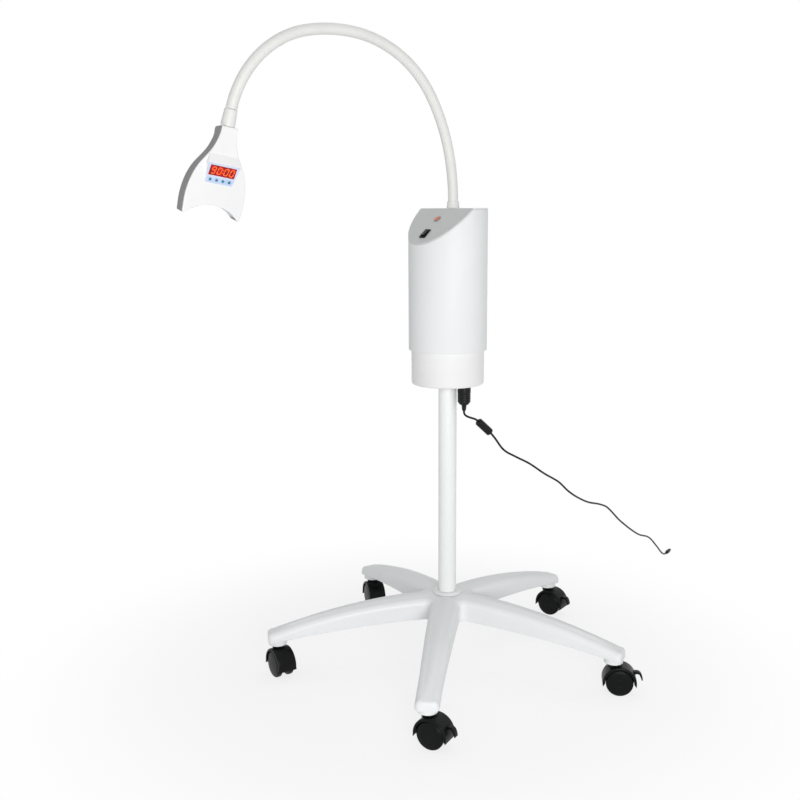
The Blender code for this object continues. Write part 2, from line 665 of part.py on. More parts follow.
def neck_piece(index, parent, origin):
    """One piece: a ball socket at its foot, a ball end at its top, both about the seams' centres."""
    sides = 16
    first = index * PIECE_STEPS
    frames = neck_path[first:first + PIECE_STEPS + 1]
    foot, head = frames[0], frames[-1]
    socket = NECK_SEAM
    ball = NECK_SEAM - NECK_SEAM_GAP
    loops = []
    if index == 0:
        # the first piece stands in the collar on its threaded foot
        loops += [placed_ring(foot, 0, -COLLAR_HEIGHT - PLATE_THICK * 3, sides),
                  placed_ring(foot, NECK_RADIUS * 0.8, -COLLAR_HEIGHT - PLATE_THICK * 3, sides),
                  placed_ring(foot, NECK_RADIUS * 0.8, -COLLAR_HEIGHT * 0.4, sides),
                  placed_ring(foot, NECK_RADIUS, -COLLAR_HEIGHT * 0.4, sides)]
    else:
        loops.append(placed_ring(foot, 0, socket, sides))
        for share in (0.6, 1.0):
            radius = NECK_RADIUS * share
            loops.append(placed_ring(foot, radius, math.sqrt(socket ** 2 - radius ** 2), sides))
    loops += [placed_ring(frame, NECK_RADIUS, 0, sides) for frame in frames[1:-1]]
    if index == len(NECK_BENDS) - 1:
        # the last piece ends in a plain end and a pin that the ferrule turns on
        loops += [placed_ring(head, NECK_RADIUS, -GAP, sides), placed_ring(head, NECK_RADIUS * 0.55, -GAP, sides),
                  placed_ring(head, NECK_RADIUS * 0.55, FERRULE_LENGTH * 0.7, sides),
                  placed_ring(head, 0, FERRULE_LENGTH * 0.7, sides)]
    else:
        for share in (1.0, 0.6):
            radius = NECK_RADIUS * share
            loops.append(placed_ring(head, radius, math.sqrt(ball ** 2 - radius ** 2), sides))
        loops.append(placed_ring(head, 0, ball, sides))
    loops = [[tuple(Vector(point) - origin) for point in loop] for loop in loops]
    points, faces = skin(loops)
    return mesh_object(f"neck_{index + 1}", points, faces, SLEEVE, parent)


def make_neck():
    """The collar and the pieces; each moving piece hangs from an empty on its seam's centre."""
    bore = NECK_RADIUS + GAP
    foot = Matrix.Translation((0, NECK_SETBACK, BOX_TOP))
    groove = COLLAR_RADIUS - COLLAR_GROOVE
    turned("neck_collar", [(bore, GAP), (COLLAR_RADIUS, GAP), (COLLAR_RADIUS, COLLAR_STEP),
           (groove, COLLAR_STEP + COLLAR_GROOVE), (groove, COLLAR_STEP + COLLAR_GROOVE * 2),
           (COLLAR_RADIUS, COLLAR_STEP + COLLAR_GROOVE * 3), (COLLAR_RADIUS, COLLAR_HEIGHT - COLLAR_GROOVE),
           (COLLAR_RADIUS - COLLAR_GROOVE, COLLAR_HEIGHT), (bore, COLLAR_HEIGHT)],
           20, WHITE_PLASTIC, stand, foot, closed=True)
    neck_piece(0, stand, Vector((0, 0, 0)))
    carrier = stand
    carrier_place = Vector((0, 0, 0))
    for index in range(1, len(NECK_BENDS)):
        seam = neck_path[index * PIECE_STEPS].to_translation()
        joint = empty(f"neck_seam_{index}", Matrix.Translation(seam - carrier_place), carrier)
        neck_piece(index, joint, seam)
        carrier = joint
        carrier_place = seam
    return carrier, carrier_place


neck_end, neck_end_place = make_neck()


# Head: its frame has the face along +Z, the neck end at y = 0 and the mouth towards -Y
def head_matrix():
    """The head's frame at the foot of the ferrule."""
    end = neck_path[-1]
    down = (end.to_3x3() @ Vector((0, 0, 1))).normalized()
    face = Vector((1, 0, 0))
    face = (face - down * face.dot(down)).normalized()
    across = face.cross(down).normalized()
    turn = Matrix((across, -down, face)).transposed().to_4x4()
    return Matrix.Translation(end.to_translation() + down * FERRULE_LENGTH) @ turn


head = empty("head", Matrix.Translation(-neck_end_place) @ head_matrix(), neck_end)

# Half widths of the head's outline, and how far down it they lie, both as shares
OUTLINE_SHARES = ((0.00, 0.270), (0.08, 0.278), (0.17, 0.335), (0.26, 0.437), (0.35, 0.592), (0.45, 0.767),
                  (0.55, 0.883), (0.65, 0.957), (0.75, 0.994), (0.84, 1.000), (0.92, 0.984))


def head_outline():
    """The fan's outline, anticlockwise from the middle of its neck end seen from the face."""
    left = [(-HEAD_HALF_WIDTH * wide, -HEAD_LENGTH * down) for down, wide in OUTLINE_SHARES]
    # mouth: an arc between its two corners, which are rounded off
    radius = (MOUTH_HALF_WIDTH ** 2 + MOUTH_DEPTH ** 2) / (2 * MOUTH_DEPTH)
    centre = -HEAD_LENGTH + MOUTH_DEPTH - radius
    spread = math.asin((MOUTH_HALF_WIDTH - HEAD_CORNER * 1.3) / radius)
    arc = [(radius * math.sin(angle), centre + radius * math.cos(angle))
           for angle in np.linspace(-spread, spread, 13)]
    corner = (-MOUTH_HALF_WIDTH, -HEAD_LENGTH)
    # the corner is rounded by a curve from the side to the arc
    side_end = Vector((-HEAD_HALF_WIDTH * 0.972, -HEAD_LENGTH + HEAD_CORNER * 1.1))
    arc_start = Vector(arc[0])
    turn = []
    for share in (0.0, 0.25, 0.5, 0.75):
        a = side_end.lerp(Vector(corner), share)
        b = Vector(corner).lerp(arc_start, share)
        turn.append(tuple(a.lerp(b, share)))
    left_side = left + turn
    right_side = [(-x, y) for x, y in left_side[::-1]]
    return left_side + arc + right_side


HEAD_OUTLINE = head_outline()


def make_rear_shell():
    """A tray with a rounded back edge, open to the face."""
    rim = HEAD_FACE - COVER_THICK - GAP
    outer = [(HEAD_ROUND * 0.80, -HEAD_BACK), (HEAD_ROUND * 0.35, -HEAD_BACK + HEAD_ROUND * 0.15),
             (HEAD_ROUND * 0.08, -HEAD_BACK + HEAD_ROUND * 0.50), (0.0, -HEAD_BACK + HEAD_ROUND), (0.0, rim)]
    inner = [(HEAD_WALL, rim), (HEAD_WALL, -HEAD_BACK + HEAD_ROUND), (HEAD_WALL * 1.6, -HEAD_BACK + HEAD_WALL)]
    loops = [[(x, y, z) for x, y in inset(HEAD_OUTLINE, amount)] for amount, z in outer + inner]
    points, faces = skin(loops)
    shell = mesh_object("rear_shell", points, faces, SHELL_GREY, head)
    hole = turned("ferrule_hole", [(0.0, -HEAD_WALL - CUT), (FERRULE_SPIGOT_RADIUS + GAP, -HEAD_WALL - CUT),
                  (FERRULE_SPIGOT_RADIUS + GAP, CUT), (0.0, CUT)], 20, SHELL_GREY, head,
                  Matrix.Rotation(math.radians(-90), 4, "X"))
    return cut(shell, hole)


make_rear_shell()


# Front cover: a plate over the shell with a wedge-shaped hump that carries the display panel
HUMP_TOP = 0.0497
HUMP_CREST = 0.0615
HUMP_END = 0.0915
HUMP_RISE = 0.0078
HUMP_TOP_HALF = 0.0265
HUMP_CREST_HALF = 0.0286
HUMP_END_HALF = 0.0240
PANEL_THICK = 0.0010
SKIN_THICK = 0.0022
WINDOW_WIDTH = 0.0440
WINDOW_HEIGHT = 0.0145
WINDOW_DOWN = 0.0032
KEY_RADIUS = 0.0024
KEY_RISE = 0.0007
KEY_PITCH = 0.0114
KEY_DOWN = 0.0243
KEY_TRAVEL = 0.0005
DISPLAY_BOARD = 0.0012
DISPLAY_BOARD_GAP = 0.0007

hump_run = HUMP_END - HUMP_CREST
hump_tilt = math.atan(HUMP_RISE / hump_run)
hump_length = math.hypot(HUMP_RISE, hump_run)
# The display's frame: its plane is the panel's outer face, its origin the middle of the crest
display = empty("display", Matrix.Translation((0, -HUMP_CREST, HEAD_FACE + HUMP_RISE))
                @ Matrix.Rotation(hump_tilt, 4, "X"), head)


def trapezoid(margin):
    """The display panel's outline in its own plane, drawn in by a margin."""
    return [(-HUMP_CREST_HALF + margin, -margin), (-HUMP_END_HALF + margin, -hump_length + margin),
            (HUMP_END_HALF - margin, -hump_length + margin), (HUMP_CREST_HALF - margin, -margin)]


def make_front_cover():
    low = HEAD_FACE - COVER_THICK
    loops = [[(x, y, z) for x, y in inset(HEAD_OUTLINE, amount)]
             for amount, z in ((COVER_EDGE, low), (0.0, low + COVER_EDGE), (0.0, HEAD_FACE - COVER_EDGE),
                               (COVER_EDGE, HEAD_FACE))]
    points, faces = skin(loops)
    cover = mesh_object("front_cover", points, faces, WHITE_PLASTIC, head)
    # the hump, its slope lower than the panel's face by the panel's own thickness
    sink = (PANEL_THICK + GAP) / math.cos(hump_tilt)
    sides = []
    for sign in (-1, 1):
        sides.append([(sign * HUMP_TOP_HALF, -HUMP_TOP, HEAD_FACE - COVER_EDGE),
                      (sign * HUMP_CREST_HALF, -HUMP_CREST, HEAD_FACE + HUMP_RISE - sink),
                      (sign * HUMP_END_HALF, -HUMP_END, HEAD_FACE - sink),
                      (sign * HUMP_END_HALF, -HUMP_END, low + COVER_EDGE),
                      (sign * HUMP_TOP_HALF, -HUMP_TOP, low + COVER_EDGE)])
    points, faces = skin(sides)
    add(cover, mesh_object("cover_hump", points, faces, WHITE_PLASTIC, head))
    # the seat that lets the panel's foot lie flush with the face
    seat = prism("panel_seat", trapezoid(-GAP), -PANEL_THICK - GAP, CUT, WHITE_PLASTIC, display)
    cut(cover, seat)
    # the pocket behind the panel, open to the inside of the head
    pocket_top = -PANEL_THICK - GAP - SKIN_THICK
    pocket = prism("display_pocket", trapezoid(SKIN_THICK), pocket_top - HEAD_FACE * 2, pocket_top,
                   WHITE_PLASTIC, display)
    cut(cover, pocket)
    window = prism("window_hole", rounded_rectangle(WINDOW_WIDTH, WINDOW_HEIGHT, COVER_EDGE,
                   centre=(0, -WINDOW_DOWN - WINDOW_HEIGHT / 2)), pocket_top - HEAD_FACE, CUT,
                   WHITE_PLASTIC, display)
    cut(cover, window)
    for k in range(4):
        hole = prism(f"key_well_{k}", circle(KEY_RADIUS + GAP, 12, ((k - 1.5) * KEY_PITCH, -KEY_DOWN)),
                     pocket_top - HEAD_FACE, CUT, WHITE_PLASTIC, display)
        cut(cover, hole)
    return cover


def make_display():
    """The overlay panel, the display with its board behind it, and four keys."""
    panel = prism("display_panel", trapezoid(0.0), -PANEL_THICK, 0.0, PANEL_BLUE, display)
    window = prism("panel_window", rounded_rectangle(WINDOW_WIDTH, WINDOW_HEIGHT, COVER_EDGE,
                   centre=(0, -WINDOW_DOWN - WINDOW_HEIGHT / 2)), -PANEL_THICK - CUT, CUT, PANEL_BLUE, display)
    cut(panel, window)
    pocket_top = -PANEL_THICK - GAP - SKIN_THICK
    board_top = pocket_top - DISPLAY_BOARD_GAP
    # the board keeps clear of the pocket's walls by the skin's own thickness
    board = prism("display_module", trapezoid(SKIN_THICK + DISPLAY_BOARD_GAP), board_top - DISPLAY_BOARD,
                  board_top, DISPLAY_RED, display)
    face = prism("display_face", rounded_rectangle(WINDOW_WIDTH - GAP * 2, WINDOW_HEIGHT - GAP * 2, COVER_EDGE,
                 centre=(0, -WINDOW_DOWN - WINDOW_HEIGHT / 2)), board_top - DISPLAY_BOARD / 2, -GAP,
                 DISPLAY_RED, display)
    add(board, face)
    for k in range(4):
        centre = ((k - 1.5) * KEY_PITCH, -KEY_DOWN)
        hole = prism(f"key_hole_{k}", circle(KEY_RADIUS + GAP, 12, centre), -PANEL_THICK - CUT, CUT,
                     PANEL_BLUE, display)
        cut(panel, hole)
        low = board_top + GAP + KEY_TRAVEL
        turned(f"key_{k + 1}", [(0.0, low), (KEY_RADIUS, low), (KEY_RADIUS, KEY_RISE * 0.6),
               (KEY_RADIUS * 0.7, KEY_RISE), (0.0, KEY_RISE)], 12, KEY_TEAL, display,
               Matrix.Translation((*centre, 0)))


make_front_cover()
make_display()


# Ferrule, and the light end: window in the mouth's wall, LED board and heat sink behind it
WINDOW_LOW = -0.0080
WINDOW_HIGH = 0.0055
WINDOW_SPREAD = 36.0
WINDOW_THICK = 0.0020
LED_SETBACK = 0.0060
LED_BOARD = 0.0016
SINK_THICK = 0.0030
FIN_DEPTH = 0.0070
FIN_THICK = 0.0020
FIN_COUNT = 9

mouth_radius = (MOUTH_HALF_WIDTH ** 2 + MOUTH_DEPTH ** 2) / (2 * MOUTH_DEPTH)
mouth_centre = -HEAD_LENGTH + MOUTH_DEPTH - mouth_radius


def mouth_band(near, far, spread, steps=20):
    """An outline between two arcs about the mouth's centre, near and far measured from its edge."""
    angles = np.radians(np.linspace(-spread, spread, steps + 1))
    inner = [((mouth_radius + near) * math.sin(a), mouth_centre + (mouth_radius + near) * math.cos(a))
             for a in angles[::-1]]
    outer = [((mouth_radius + far) * math.sin(a), mouth_centre + (mouth_radius + far) * math.cos(a))
             for a in angles]
    return inner + outer


def make_ferrule():
    """A cone turned by hand on the neck's pin; its spigot goes through the shell's end wall."""
    pin = NECK_RADIUS * 0.55 + GAP
    bore_end = FERRULE_LENGTH * 0.3 - GAP
    return turned("ferrule", [(0.0, -FERRULE_SPIGOT), (FERRULE_SPIGOT_RADIUS, -FERRULE_SPIGOT),
                  (FERRULE_SPIGOT_RADIUS, GAP), (FERRULE_RADIUS, GAP), (FERRULE_RADIUS, FERRULE_LENGTH * 0.12),
                  (FERRULE_TOP_RADIUS, FERRULE_LENGTH * 0.9), (FERRULE_TOP_RADIUS - COLLAR_GROOVE, FERRULE_LENGTH),
                  (pin, FERRULE_LENGTH), (pin, bore_end), (0.0, bore_end)], 20, WHITE_PLASTIC, head,
                  Matrix.Rotation(math.radians(-90), 4, "X"))


def make_light_end(shell):
    spread_gap = math.degrees(GAP / mouth_radius)
    slot = prism("window_slot", mouth_band(-CUT * 4, HEAD_WALL + CUT, WINDOW_SPREAD + spread_gap),
                 WINDOW_LOW - GAP, WINDOW_HIGH + GAP, SHELL_GREY, head)
    cut(shell, slot)
    prism("light_window", mouth_band(GAP, GAP + WINDOW_THICK, WINDOW_SPREAD), WINDOW_LOW, WINDOW_HIGH,
          LIGHT_WINDOW, head)
    floor = -HEAD_BACK + HEAD_WALL + GAP
    ceiling = HEAD_FACE - COVER_THICK - GAP * 2
    led_back = LED_SETBACK + LED_BOARD
    prism("led_board", mouth_band(LED_SETBACK, led_back, WINDOW_SPREAD), floor, WINDOW_HIGH, BOARD_GREEN, head)
    sink = prism("heat_sink", mouth_band(led_back + GAP, led_back + GAP + SINK_THICK, WINDOW_SPREAD),
                 floor, ceiling, ALUMINIUM, head)
    for k in range(FIN_COUNT):
        angle = math.radians(WINDOW_SPREAD * 0.92 * (2 * k / (FIN_COUNT - 1) - 1))
        base = mouth_radius + led_back + GAP + SINK_THICK / 2
        fin = block(f"fin_{k}", (-FIN_THICK / 2, base, floor), (FIN_THICK / 2, base + FIN_DEPTH, WINDOW_HIGH),
                    ALUMINIUM, head, Matrix.Translation((0, mouth_centre, 0)) @ Matrix.Rotation(-angle, 4, "Z"))
        add(sink, fin)


make_ferrule()
make_light_end(bpy.data.objects["rear_shell"])


# Castors: each has its own frame on the floor under its stem, with the trail along its X axis
LEVER_PLACE = (0.0240, 0.0155)
LEVER_REACH = 0.0185
LEVER_BARREL = 0.0030
LEVER_HALF_WIDTH = 0.0050
LEVER_SLOT_RADIUS = 0.0052
TRUNNION_RADIUS = 0.0012
TRUNNION_LENGTH = 0.0008
HOOD_DROP = 12.0
WHEEL_SIDES = 20
# The hook of a brake lever seen from its side, as shares of its reach
HOOK_SHARES = ((0.00, 0.16), (0.32, 0.21), (0.58, 0.18), (0.80, 0.02), (0.94, -0.30), (1.00, -0.66), (0.92, -0.72),
               (0.86, -0.66), (0.79, -0.32), (0.64, -0.08), (0.42, -0.02), (0.00, -0.16))


def arc_points(radius, start, end, steps):
    """Points on an arc about the axle, angles in degrees."""
    return [(radius * math.cos(a), radius * math.sin(a)) for a in np.radians(np.linspace(start, end, steps + 1))]


def make_hood(name, castor, axle, braked):
    """A mudguard over both wheels on a keel between them, with the housing of the stem's pin."""
    half_width = KEEL_WIDTH / 2 + WHEEL_GAP + WHEEL_WIDTH
    inner_radius = WHEEL_RADIUS + HOOD_CLEAR
    # tips: the outer arc reaches further down than the inner one, so the ends are pointed
    guard_outline = (arc_points(HOOD_RADIUS, -HOOD_DROP, 180 + HOOD_DROP, 16)
                     + arc_points(inner_radius, 180 + HOOD_DROP * 0.2, -HOOD_DROP * 0.2, 16))
    hood = prism(f"{name}_hood", guard_outline, -half_width, half_width, BLACK_PLASTIC, axle)
    middle = (inner_radius + HOOD_RADIUS) / 2
    foot = AXLE_RADIUS * 2.6
    keel_outline = arc_points(middle, 0, 180, 12) + arc_points(foot, 215, 325, 6)
    add(hood, prism(f"{name}_keel", keel_outline, -KEEL_WIDTH / 2, KEEL_WIDTH / 2, BLACK_PLASTIC, axle))
    top = TIP_HEIGHT - STEM_COLLAR - GAP * 2
    shoulder = WHEEL_RADIUS * 2 + WHEEL_GAP
    low = top - STEM_PIN_LENGTH - GAP * 2 - HOOD_CLEAR * 2
    neck = KEEL_WIDTH / 2 - GAP
    add(hood, turned(f"{name}_housing", [(0.0, low), (neck, low), (neck, shoulder), (HOUSING_RADIUS, shoulder),
                     (HOUSING_RADIUS, top - HOOD_CLEAR), (HOUSING_RADIUS - HOOD_CLEAR, top), (0.0, top)],
                     20, BLACK_PLASTIC, castor))
    cut(hood, prism(f"{name}_axle_bore", circle(AXLE_RADIUS + GAP, 16), -KEEL_WIDTH, KEEL_WIDTH,
                    BLACK_PLASTIC, axle))
    bore_low = top - STEM_PIN_LENGTH - GAP
    cut(hood, turned(f"{name}_stem_bore", [(0.0, bore_low), (STEM_PIN_RADIUS + GAP, bore_low),
                     (STEM_PIN_RADIUS + GAP, top + CUT), (0.0, top + CUT)], 14, STEEL, castor))
    if braked:
        slot = prism(f"{name}_lever_slot", circle(LEVER_SLOT_RADIUS, 14, LEVER_PLACE),
                     -LEVER_HALF_WIDTH - GAP, LEVER_HALF_WIDTH + GAP, BLACK_PLASTIC, axle)
        cut(hood, slot)
        reach = LEVER_HALF_WIDTH + TRUNNION_LENGTH + GAP
        cut(hood, prism(f"{name}_trunnion_bore", circle(TRUNNION_RADIUS + GAP, 10, LEVER_PLACE), -reach, reach,
                        BLACK_PLASTIC, axle))
    return hood


def make_wheels(name, axle):
    """Two domed wheels on one axle, turned as a piece; a facet of the tread lies on the floor."""
    tread = WHEEL_RADIUS / math.cos(math.pi / WHEEL_SIDES)
    inner = KEEL_WIDTH / 2 + WHEEL_GAP
    outer = inner + WHEEL_WIDTH
    edge = outer - WHEEL_DOME
    half = [(AXLE_RADIUS, inner), (tread * 0.93, inner), (tread, inner + WHEEL_GAP * 2), (tread, edge - WHEEL_GAP),
            (tread * 0.95, edge + WHEEL_DOME * 0.35), (tread * 0.72, edge + WHEEL_DOME * 0.8), (0.0, outer)]
    profile = [(radius, -height) for radius, height in half[::-1]] + half
    return turned(f"{name}_wheels", profile, WHEEL_SIDES, BLACK_PLASTIC, axle, turn=math.pi / WHEEL_SIDES)


def make_lever(name, axle):
    """A hooked brake lever on two trunnions in the hood's slot."""
    pivot = empty(f"{name}_lever_pivot", Matrix.Translation((*LEVER_PLACE, 0)), axle)
    lever = prism(f"{name}_brake_lever", [(x * LEVER_REACH, y * LEVER_REACH) for x, y in HOOK_SHARES[::-1]],
                  -LEVER_HALF_WIDTH, LEVER_HALF_WIDTH, BLACK_PLASTIC, pivot)
    add(lever, prism(f"{name}_lever_barrel", circle(LEVER_BARREL, 14), -LEVER_HALF_WIDTH, LEVER_HALF_WIDTH,
                     BLACK_PLASTIC, pivot))
    reach = LEVER_HALF_WIDTH + TRUNNION_LENGTH
    add(lever, prism(f"{name}_trunnions", circle(TRUNNION_RADIUS, 10), -reach, reach, BLACK_PLASTIC, pivot))
    return lever


def make_stem(name, castor):
    """The stem: pressed into the arm's boss, with a collar and the pin that the hood turns on."""
    collar = TIP_HEIGHT - GAP - STEM_COLLAR
    turned(f"{name}_stem", [(0.0, collar - STEM_PIN_LENGTH), (STEM_PIN_RADIUS, collar - STEM_PIN_LENGTH),
           (STEM_PIN_RADIUS, collar), (STEM_COLLAR_RADIUS, collar), (STEM_COLLAR_RADIUS, collar + STEM_COLLAR),
           (STEM_RADIUS, collar + STEM_COLLAR), (STEM_RADIUS, TIP_HEIGHT + STEM_LENGTH),
           (0.0, TIP_HEIGHT + STEM_LENGTH)], 16, STEEL, castor)


for k, (castor_name, trail_turn, has_brake) in enumerate(CASTORS):
    arm_turn = math.radians(BASE_TURN + 360 / ARM_COUNT * k)
    stem_place = (STEM_CIRCLE * math.cos(arm_turn), STEM_CIRCLE * math.sin(arm_turn), 0)
    castor = empty(f"{castor_name}_castor", about_z(trail_turn, stem_place), stand)
    axle = empty(f"{castor_name}_axle", Matrix.Translation((CASTOR_TRAIL, 0, WHEEL_RADIUS))
                 @ Matrix.Rotation(math.radians(90), 4, "X"), castor)
    make_hood(castor_name, castor, axle, has_brake)
    make_wheels(castor_name, axle)
    make_stem(castor_name, castor)
    if has_brake:
        make_lever(castor_name, axle)


# Cord: a thin lead from the plug through a ferrite bead to a small round connector on the floor
BEAD_RADIUS = 0.0075
BEAD_CHAMFER = 0.0022
CONNECTOR_RADIUS = 0.0045
CONNECTOR_LENGTH = 0.024
BARREL_RADIUS = 0.00275
BARREL_LENGTH = 0.0095
CORD_STEP = 0.0126
# Points that the lead runs through, from the column's axis at the floor
ROUTE_TO_BEAD = ((0.0340, 0.0113, 0.5067), (0.0342, 0.0115, 0.5015), (0.0360, 0.0145, 0.4968),
                 (0.0400, 0.0230, 0.4925), (0.0440, 0.0316, 0.4890))
BEAD_ENDS = ((0.0456, 0.0364, 0.4850), (0.0525, 0.0625, 0.4600))
ROUTE_FROM_BEAD = ((0.0544, 0.0720, 0.4490), (0.0574, 0.0938, 0.4225), (0.0599, 0.1252, 0.4041),
                   (0.0604, 0.1609, 0.3854), (0.0585, 0.2067, 0.3565), (0.0543, 0.2531, 0.3305),
                   (0.0498, 0.2880, 0.3038), (0.0446, 0.3211, 0.2837), (0.0366, 0.3652, 0.2627),
                   (0.0257, 0.4168, 0.2455), (0.0172, 0.4526, 0.2295), (-0.0003, 0.5203, 0.1807),
                   (-0.0305, 0.6230, 0.1208), (-0.0537, 0.6946, 0.0916), (-0.0800, 0.7640, 0.0460),
                   (-0.0950, 0.8030, 0.0180), (-0.1035, 0.8260, 0.0065), (-0.1080, 0.8390, 0.0045))


def smooth_route(points, step):
    """Points at even steps on a smooth curve through the route's own points."""
    knots = np.array(points)
    padded = np.vstack([2 * knots[0] - knots[1], knots, 2 * knots[-1] - knots[-2]])
    fine = []
    for i in range(1, len(padded) - 2):
        before, start, end, after = padded[i - 1:i + 3]
        span = np.linalg.norm(end - start)
        leave = (end - before) / (np.linalg.norm(start - before) + span) * span
        arrive = (after - start) / (np.linalg.norm(after - end) + span) * span
        for t in np.linspace(0, 1, 12, endpoint=False):
            fine.append((2 * t ** 3 - 3 * t ** 2 + 1) * start + (t ** 3 - 2 * t ** 2 + t) * leave
                        + (3 * t ** 2 - 2 * t ** 3) * end + (t ** 3 - t ** 2) * arrive)
    fine = np.vstack([fine, knots[-1]])
    run = np.concatenate([[0], np.cumsum(np.linalg.norm(np.diff(fine, axis=0), axis=1))])
    places = np.linspace(0, run[-1], max(2, round(run[-1] / step)) + 1)
    return np.stack([np.interp(places, run, fine[:, axis]) for axis in range(3)], axis=1)


def make_tube(name, points):
    curve = bpy.data.curves.new(name, "CURVE")
    curve.dimensions = "3D"
    curve.bevel_depth = CORD_RADIUS
    curve.bevel_resolution = 2
    curve.use_fill_caps = True
    spline = curve.splines.new("POLY")
    spline.points.add(len(points) - 1)
    for slot, point in zip(spline.points, points):
        slot.co = (*point, 1.0)
    curve.materials.append(BLACK_RUBBER)
    tube = bpy.data.objects.new(name, curve)
    bpy.context.collection.objects.link(tube)
    tube.parent = stand
    return tube


def aimed(start, end):
    """A frame at start with its Z axis towards end."""
    along = Vector(end) - Vector(start)
    return Matrix.Translation(start) @ along.to_track_quat("Z", "X").to_matrix().to_4x4()


def make_cord():
    start, end = Vector(BEAD_ENDS[0]), Vector(BEAD_ENDS[1])
    along = (end - start).normalized()
    leave = Vector(ROUTE_TO_BEAD[0]) - Vector((0, 0, GAP))
    to_bead = [tuple(leave), *ROUTE_TO_BEAD[1:], tuple(start - along * GAP)]
    make_tube("lead_to_bead", smooth_route(to_bead, CORD_STEP / 2))
    length = (end - start).length
    turned("ferrite_bead", [(0.0, 0.0), (BEAD_RADIUS - BEAD_CHAMFER, 0.0), (BEAD_RADIUS, BEAD_CHAMFER),
           (BEAD_RADIUS, length - BEAD_CHAMFER), (BEAD_RADIUS - BEAD_CHAMFER, length), (0.0, length)],
           16, BLACK_PLASTIC, stand, aimed(start, end))
    from_bead = [tuple(end + along * GAP), *ROUTE_FROM_BEAD]
    make_tube("lead", smooth_route(from_bead, CORD_STEP))
    last, before = Vector(ROUTE_FROM_BEAD[-1]), Vector(ROUTE_FROM_BEAD[-2])
    heading = Vector((last.x - before.x, last.y - before.y, 0)).normalized()
    foot = last + heading * GAP * 2
    turned("lead_connector", [(0.0, 0.0), (CORD_RADIUS * 1.4, 0.0), (CONNECTOR_RADIUS, CONNECTOR_LENGTH * 0.35),
           (CONNECTOR_RADIUS, CONNECTOR_LENGTH), (BARREL_RADIUS, CONNECTOR_LENGTH),
           (BARREL_RADIUS, CONNECTOR_LENGTH + BARREL_LENGTH), (0.0, CONNECTOR_LENGTH + BARREL_LENGTH)],
           12, BLACK_PLASTIC, stand, aimed(foot, foot + heading))


make_cord()
CORD_NODES = ("power_plug", "lead_to_bead", "ferrite_bead", "lead", "lead_connector")


# The part's box, without the cord, is centred on the origin
def centre_on_origin():
    bpy.context.view_layer.update()
    view = bpy.context.evaluated_depsgraph_get()
    corners = []
    for piece in bpy.data.objects:
        if piece.type == "MESH" and not piece.hide_render and piece.name not in CORD_NODES:
            shaped = piece.evaluated_get(view)
            mesh = shaped.to_mesh()
            corners += [shaped.matrix_world @ corner.co for corner in mesh.vertices]
            shaped.to_mesh_clear()
    low = [min(corner[axis] for corner in corners) for axis in range(2)]
    high = [max(corner[axis] for corner in corners) for axis in range(2)]
    stand.location = (-(low[0] + high[0]) / 2, -(low[1] + high[1]) / 2, 0)
    bpy.context.view_layer.update()


centre_on_origin()
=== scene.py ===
import math

import bmesh
import bpy
import numpy as np
from mathutils import Matrix, Vector


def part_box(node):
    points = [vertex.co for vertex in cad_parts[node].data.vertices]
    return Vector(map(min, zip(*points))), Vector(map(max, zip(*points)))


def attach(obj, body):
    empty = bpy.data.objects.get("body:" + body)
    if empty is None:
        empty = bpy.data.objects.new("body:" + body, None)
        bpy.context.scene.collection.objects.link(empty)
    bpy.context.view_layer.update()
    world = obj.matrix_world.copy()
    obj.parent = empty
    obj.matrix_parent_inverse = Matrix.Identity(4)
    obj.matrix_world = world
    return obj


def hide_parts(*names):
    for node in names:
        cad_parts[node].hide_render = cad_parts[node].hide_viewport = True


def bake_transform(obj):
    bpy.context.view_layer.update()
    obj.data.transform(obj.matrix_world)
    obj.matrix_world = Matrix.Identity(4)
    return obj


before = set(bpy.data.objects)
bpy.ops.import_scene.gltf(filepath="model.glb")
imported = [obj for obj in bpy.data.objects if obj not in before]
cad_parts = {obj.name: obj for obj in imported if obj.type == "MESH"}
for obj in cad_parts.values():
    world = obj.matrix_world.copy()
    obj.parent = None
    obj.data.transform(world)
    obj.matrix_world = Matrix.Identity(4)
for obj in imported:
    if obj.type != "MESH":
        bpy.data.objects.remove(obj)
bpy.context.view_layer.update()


# Studio: a pale floor that turns into white further out, a white surround, a large soft lamp at the
# right and weaker ones at the left and above, and the camera at the photograph's place.
def middle_of(object_name):
    """The middle of a node's box, on the floor."""
    low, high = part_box(object_name)
    return np.array(((low.x + high.x) / 2, (low.y + high.y) / 2, 0.0))


AXIS = middle_of("column_tube")
CAMERA_PLACE = Vector(AXIS) + Vector((1.43697, -1.25390, 0.8845))
CAMERA_TURN, CAMERA_DROP, CAMERA_ROLL = 141.6, 10.713, -0.368
LENS, SENSOR = 46.06, 36.0
WHITE, AMBIENT = (1.0, 1.0, 1.0, 1.0), 0.43
FLOOR_SIZE, FLOOR_PALE, FLOOR_GLOW = 30.0, 0.93, 0.78
FLOOR_FADE = (0.30, 0.85)
LAMP_AIM = 0.55
# Lamps: turn about the column seen from above, height, distance, side of the square, watts
LAMPS = (("lamp_front", -32.0, 0.92, 2.6, 1.0, 34.0), ("lamp_left", -125.0, 1.20, 2.8, 1.6, 2.0),
         ("lamp_above", 120.0, 2.90, 1.2, 1.6, 5.0))


def nodes_of(material_or_world):
    """Its node tree, emptied."""
    material_or_world.use_nodes = True
    tree = material_or_world.node_tree
    tree.nodes.clear()
    return tree


def add(tree, kind, operation=None, **values):
    """A node of a kind, with its operation and its inputs' values; an underscore stands for a space."""
    node = tree.nodes.new(kind)
    if operation:
        node.operation = operation
    for name, value in values.items():
        node.inputs[name.replace("_", " ")].default_value = value
    return node


def join(tree, *pairs):
    """Links each pair of sockets, output first."""
    for source, target in pairs:
        tree.links.new(source, target)


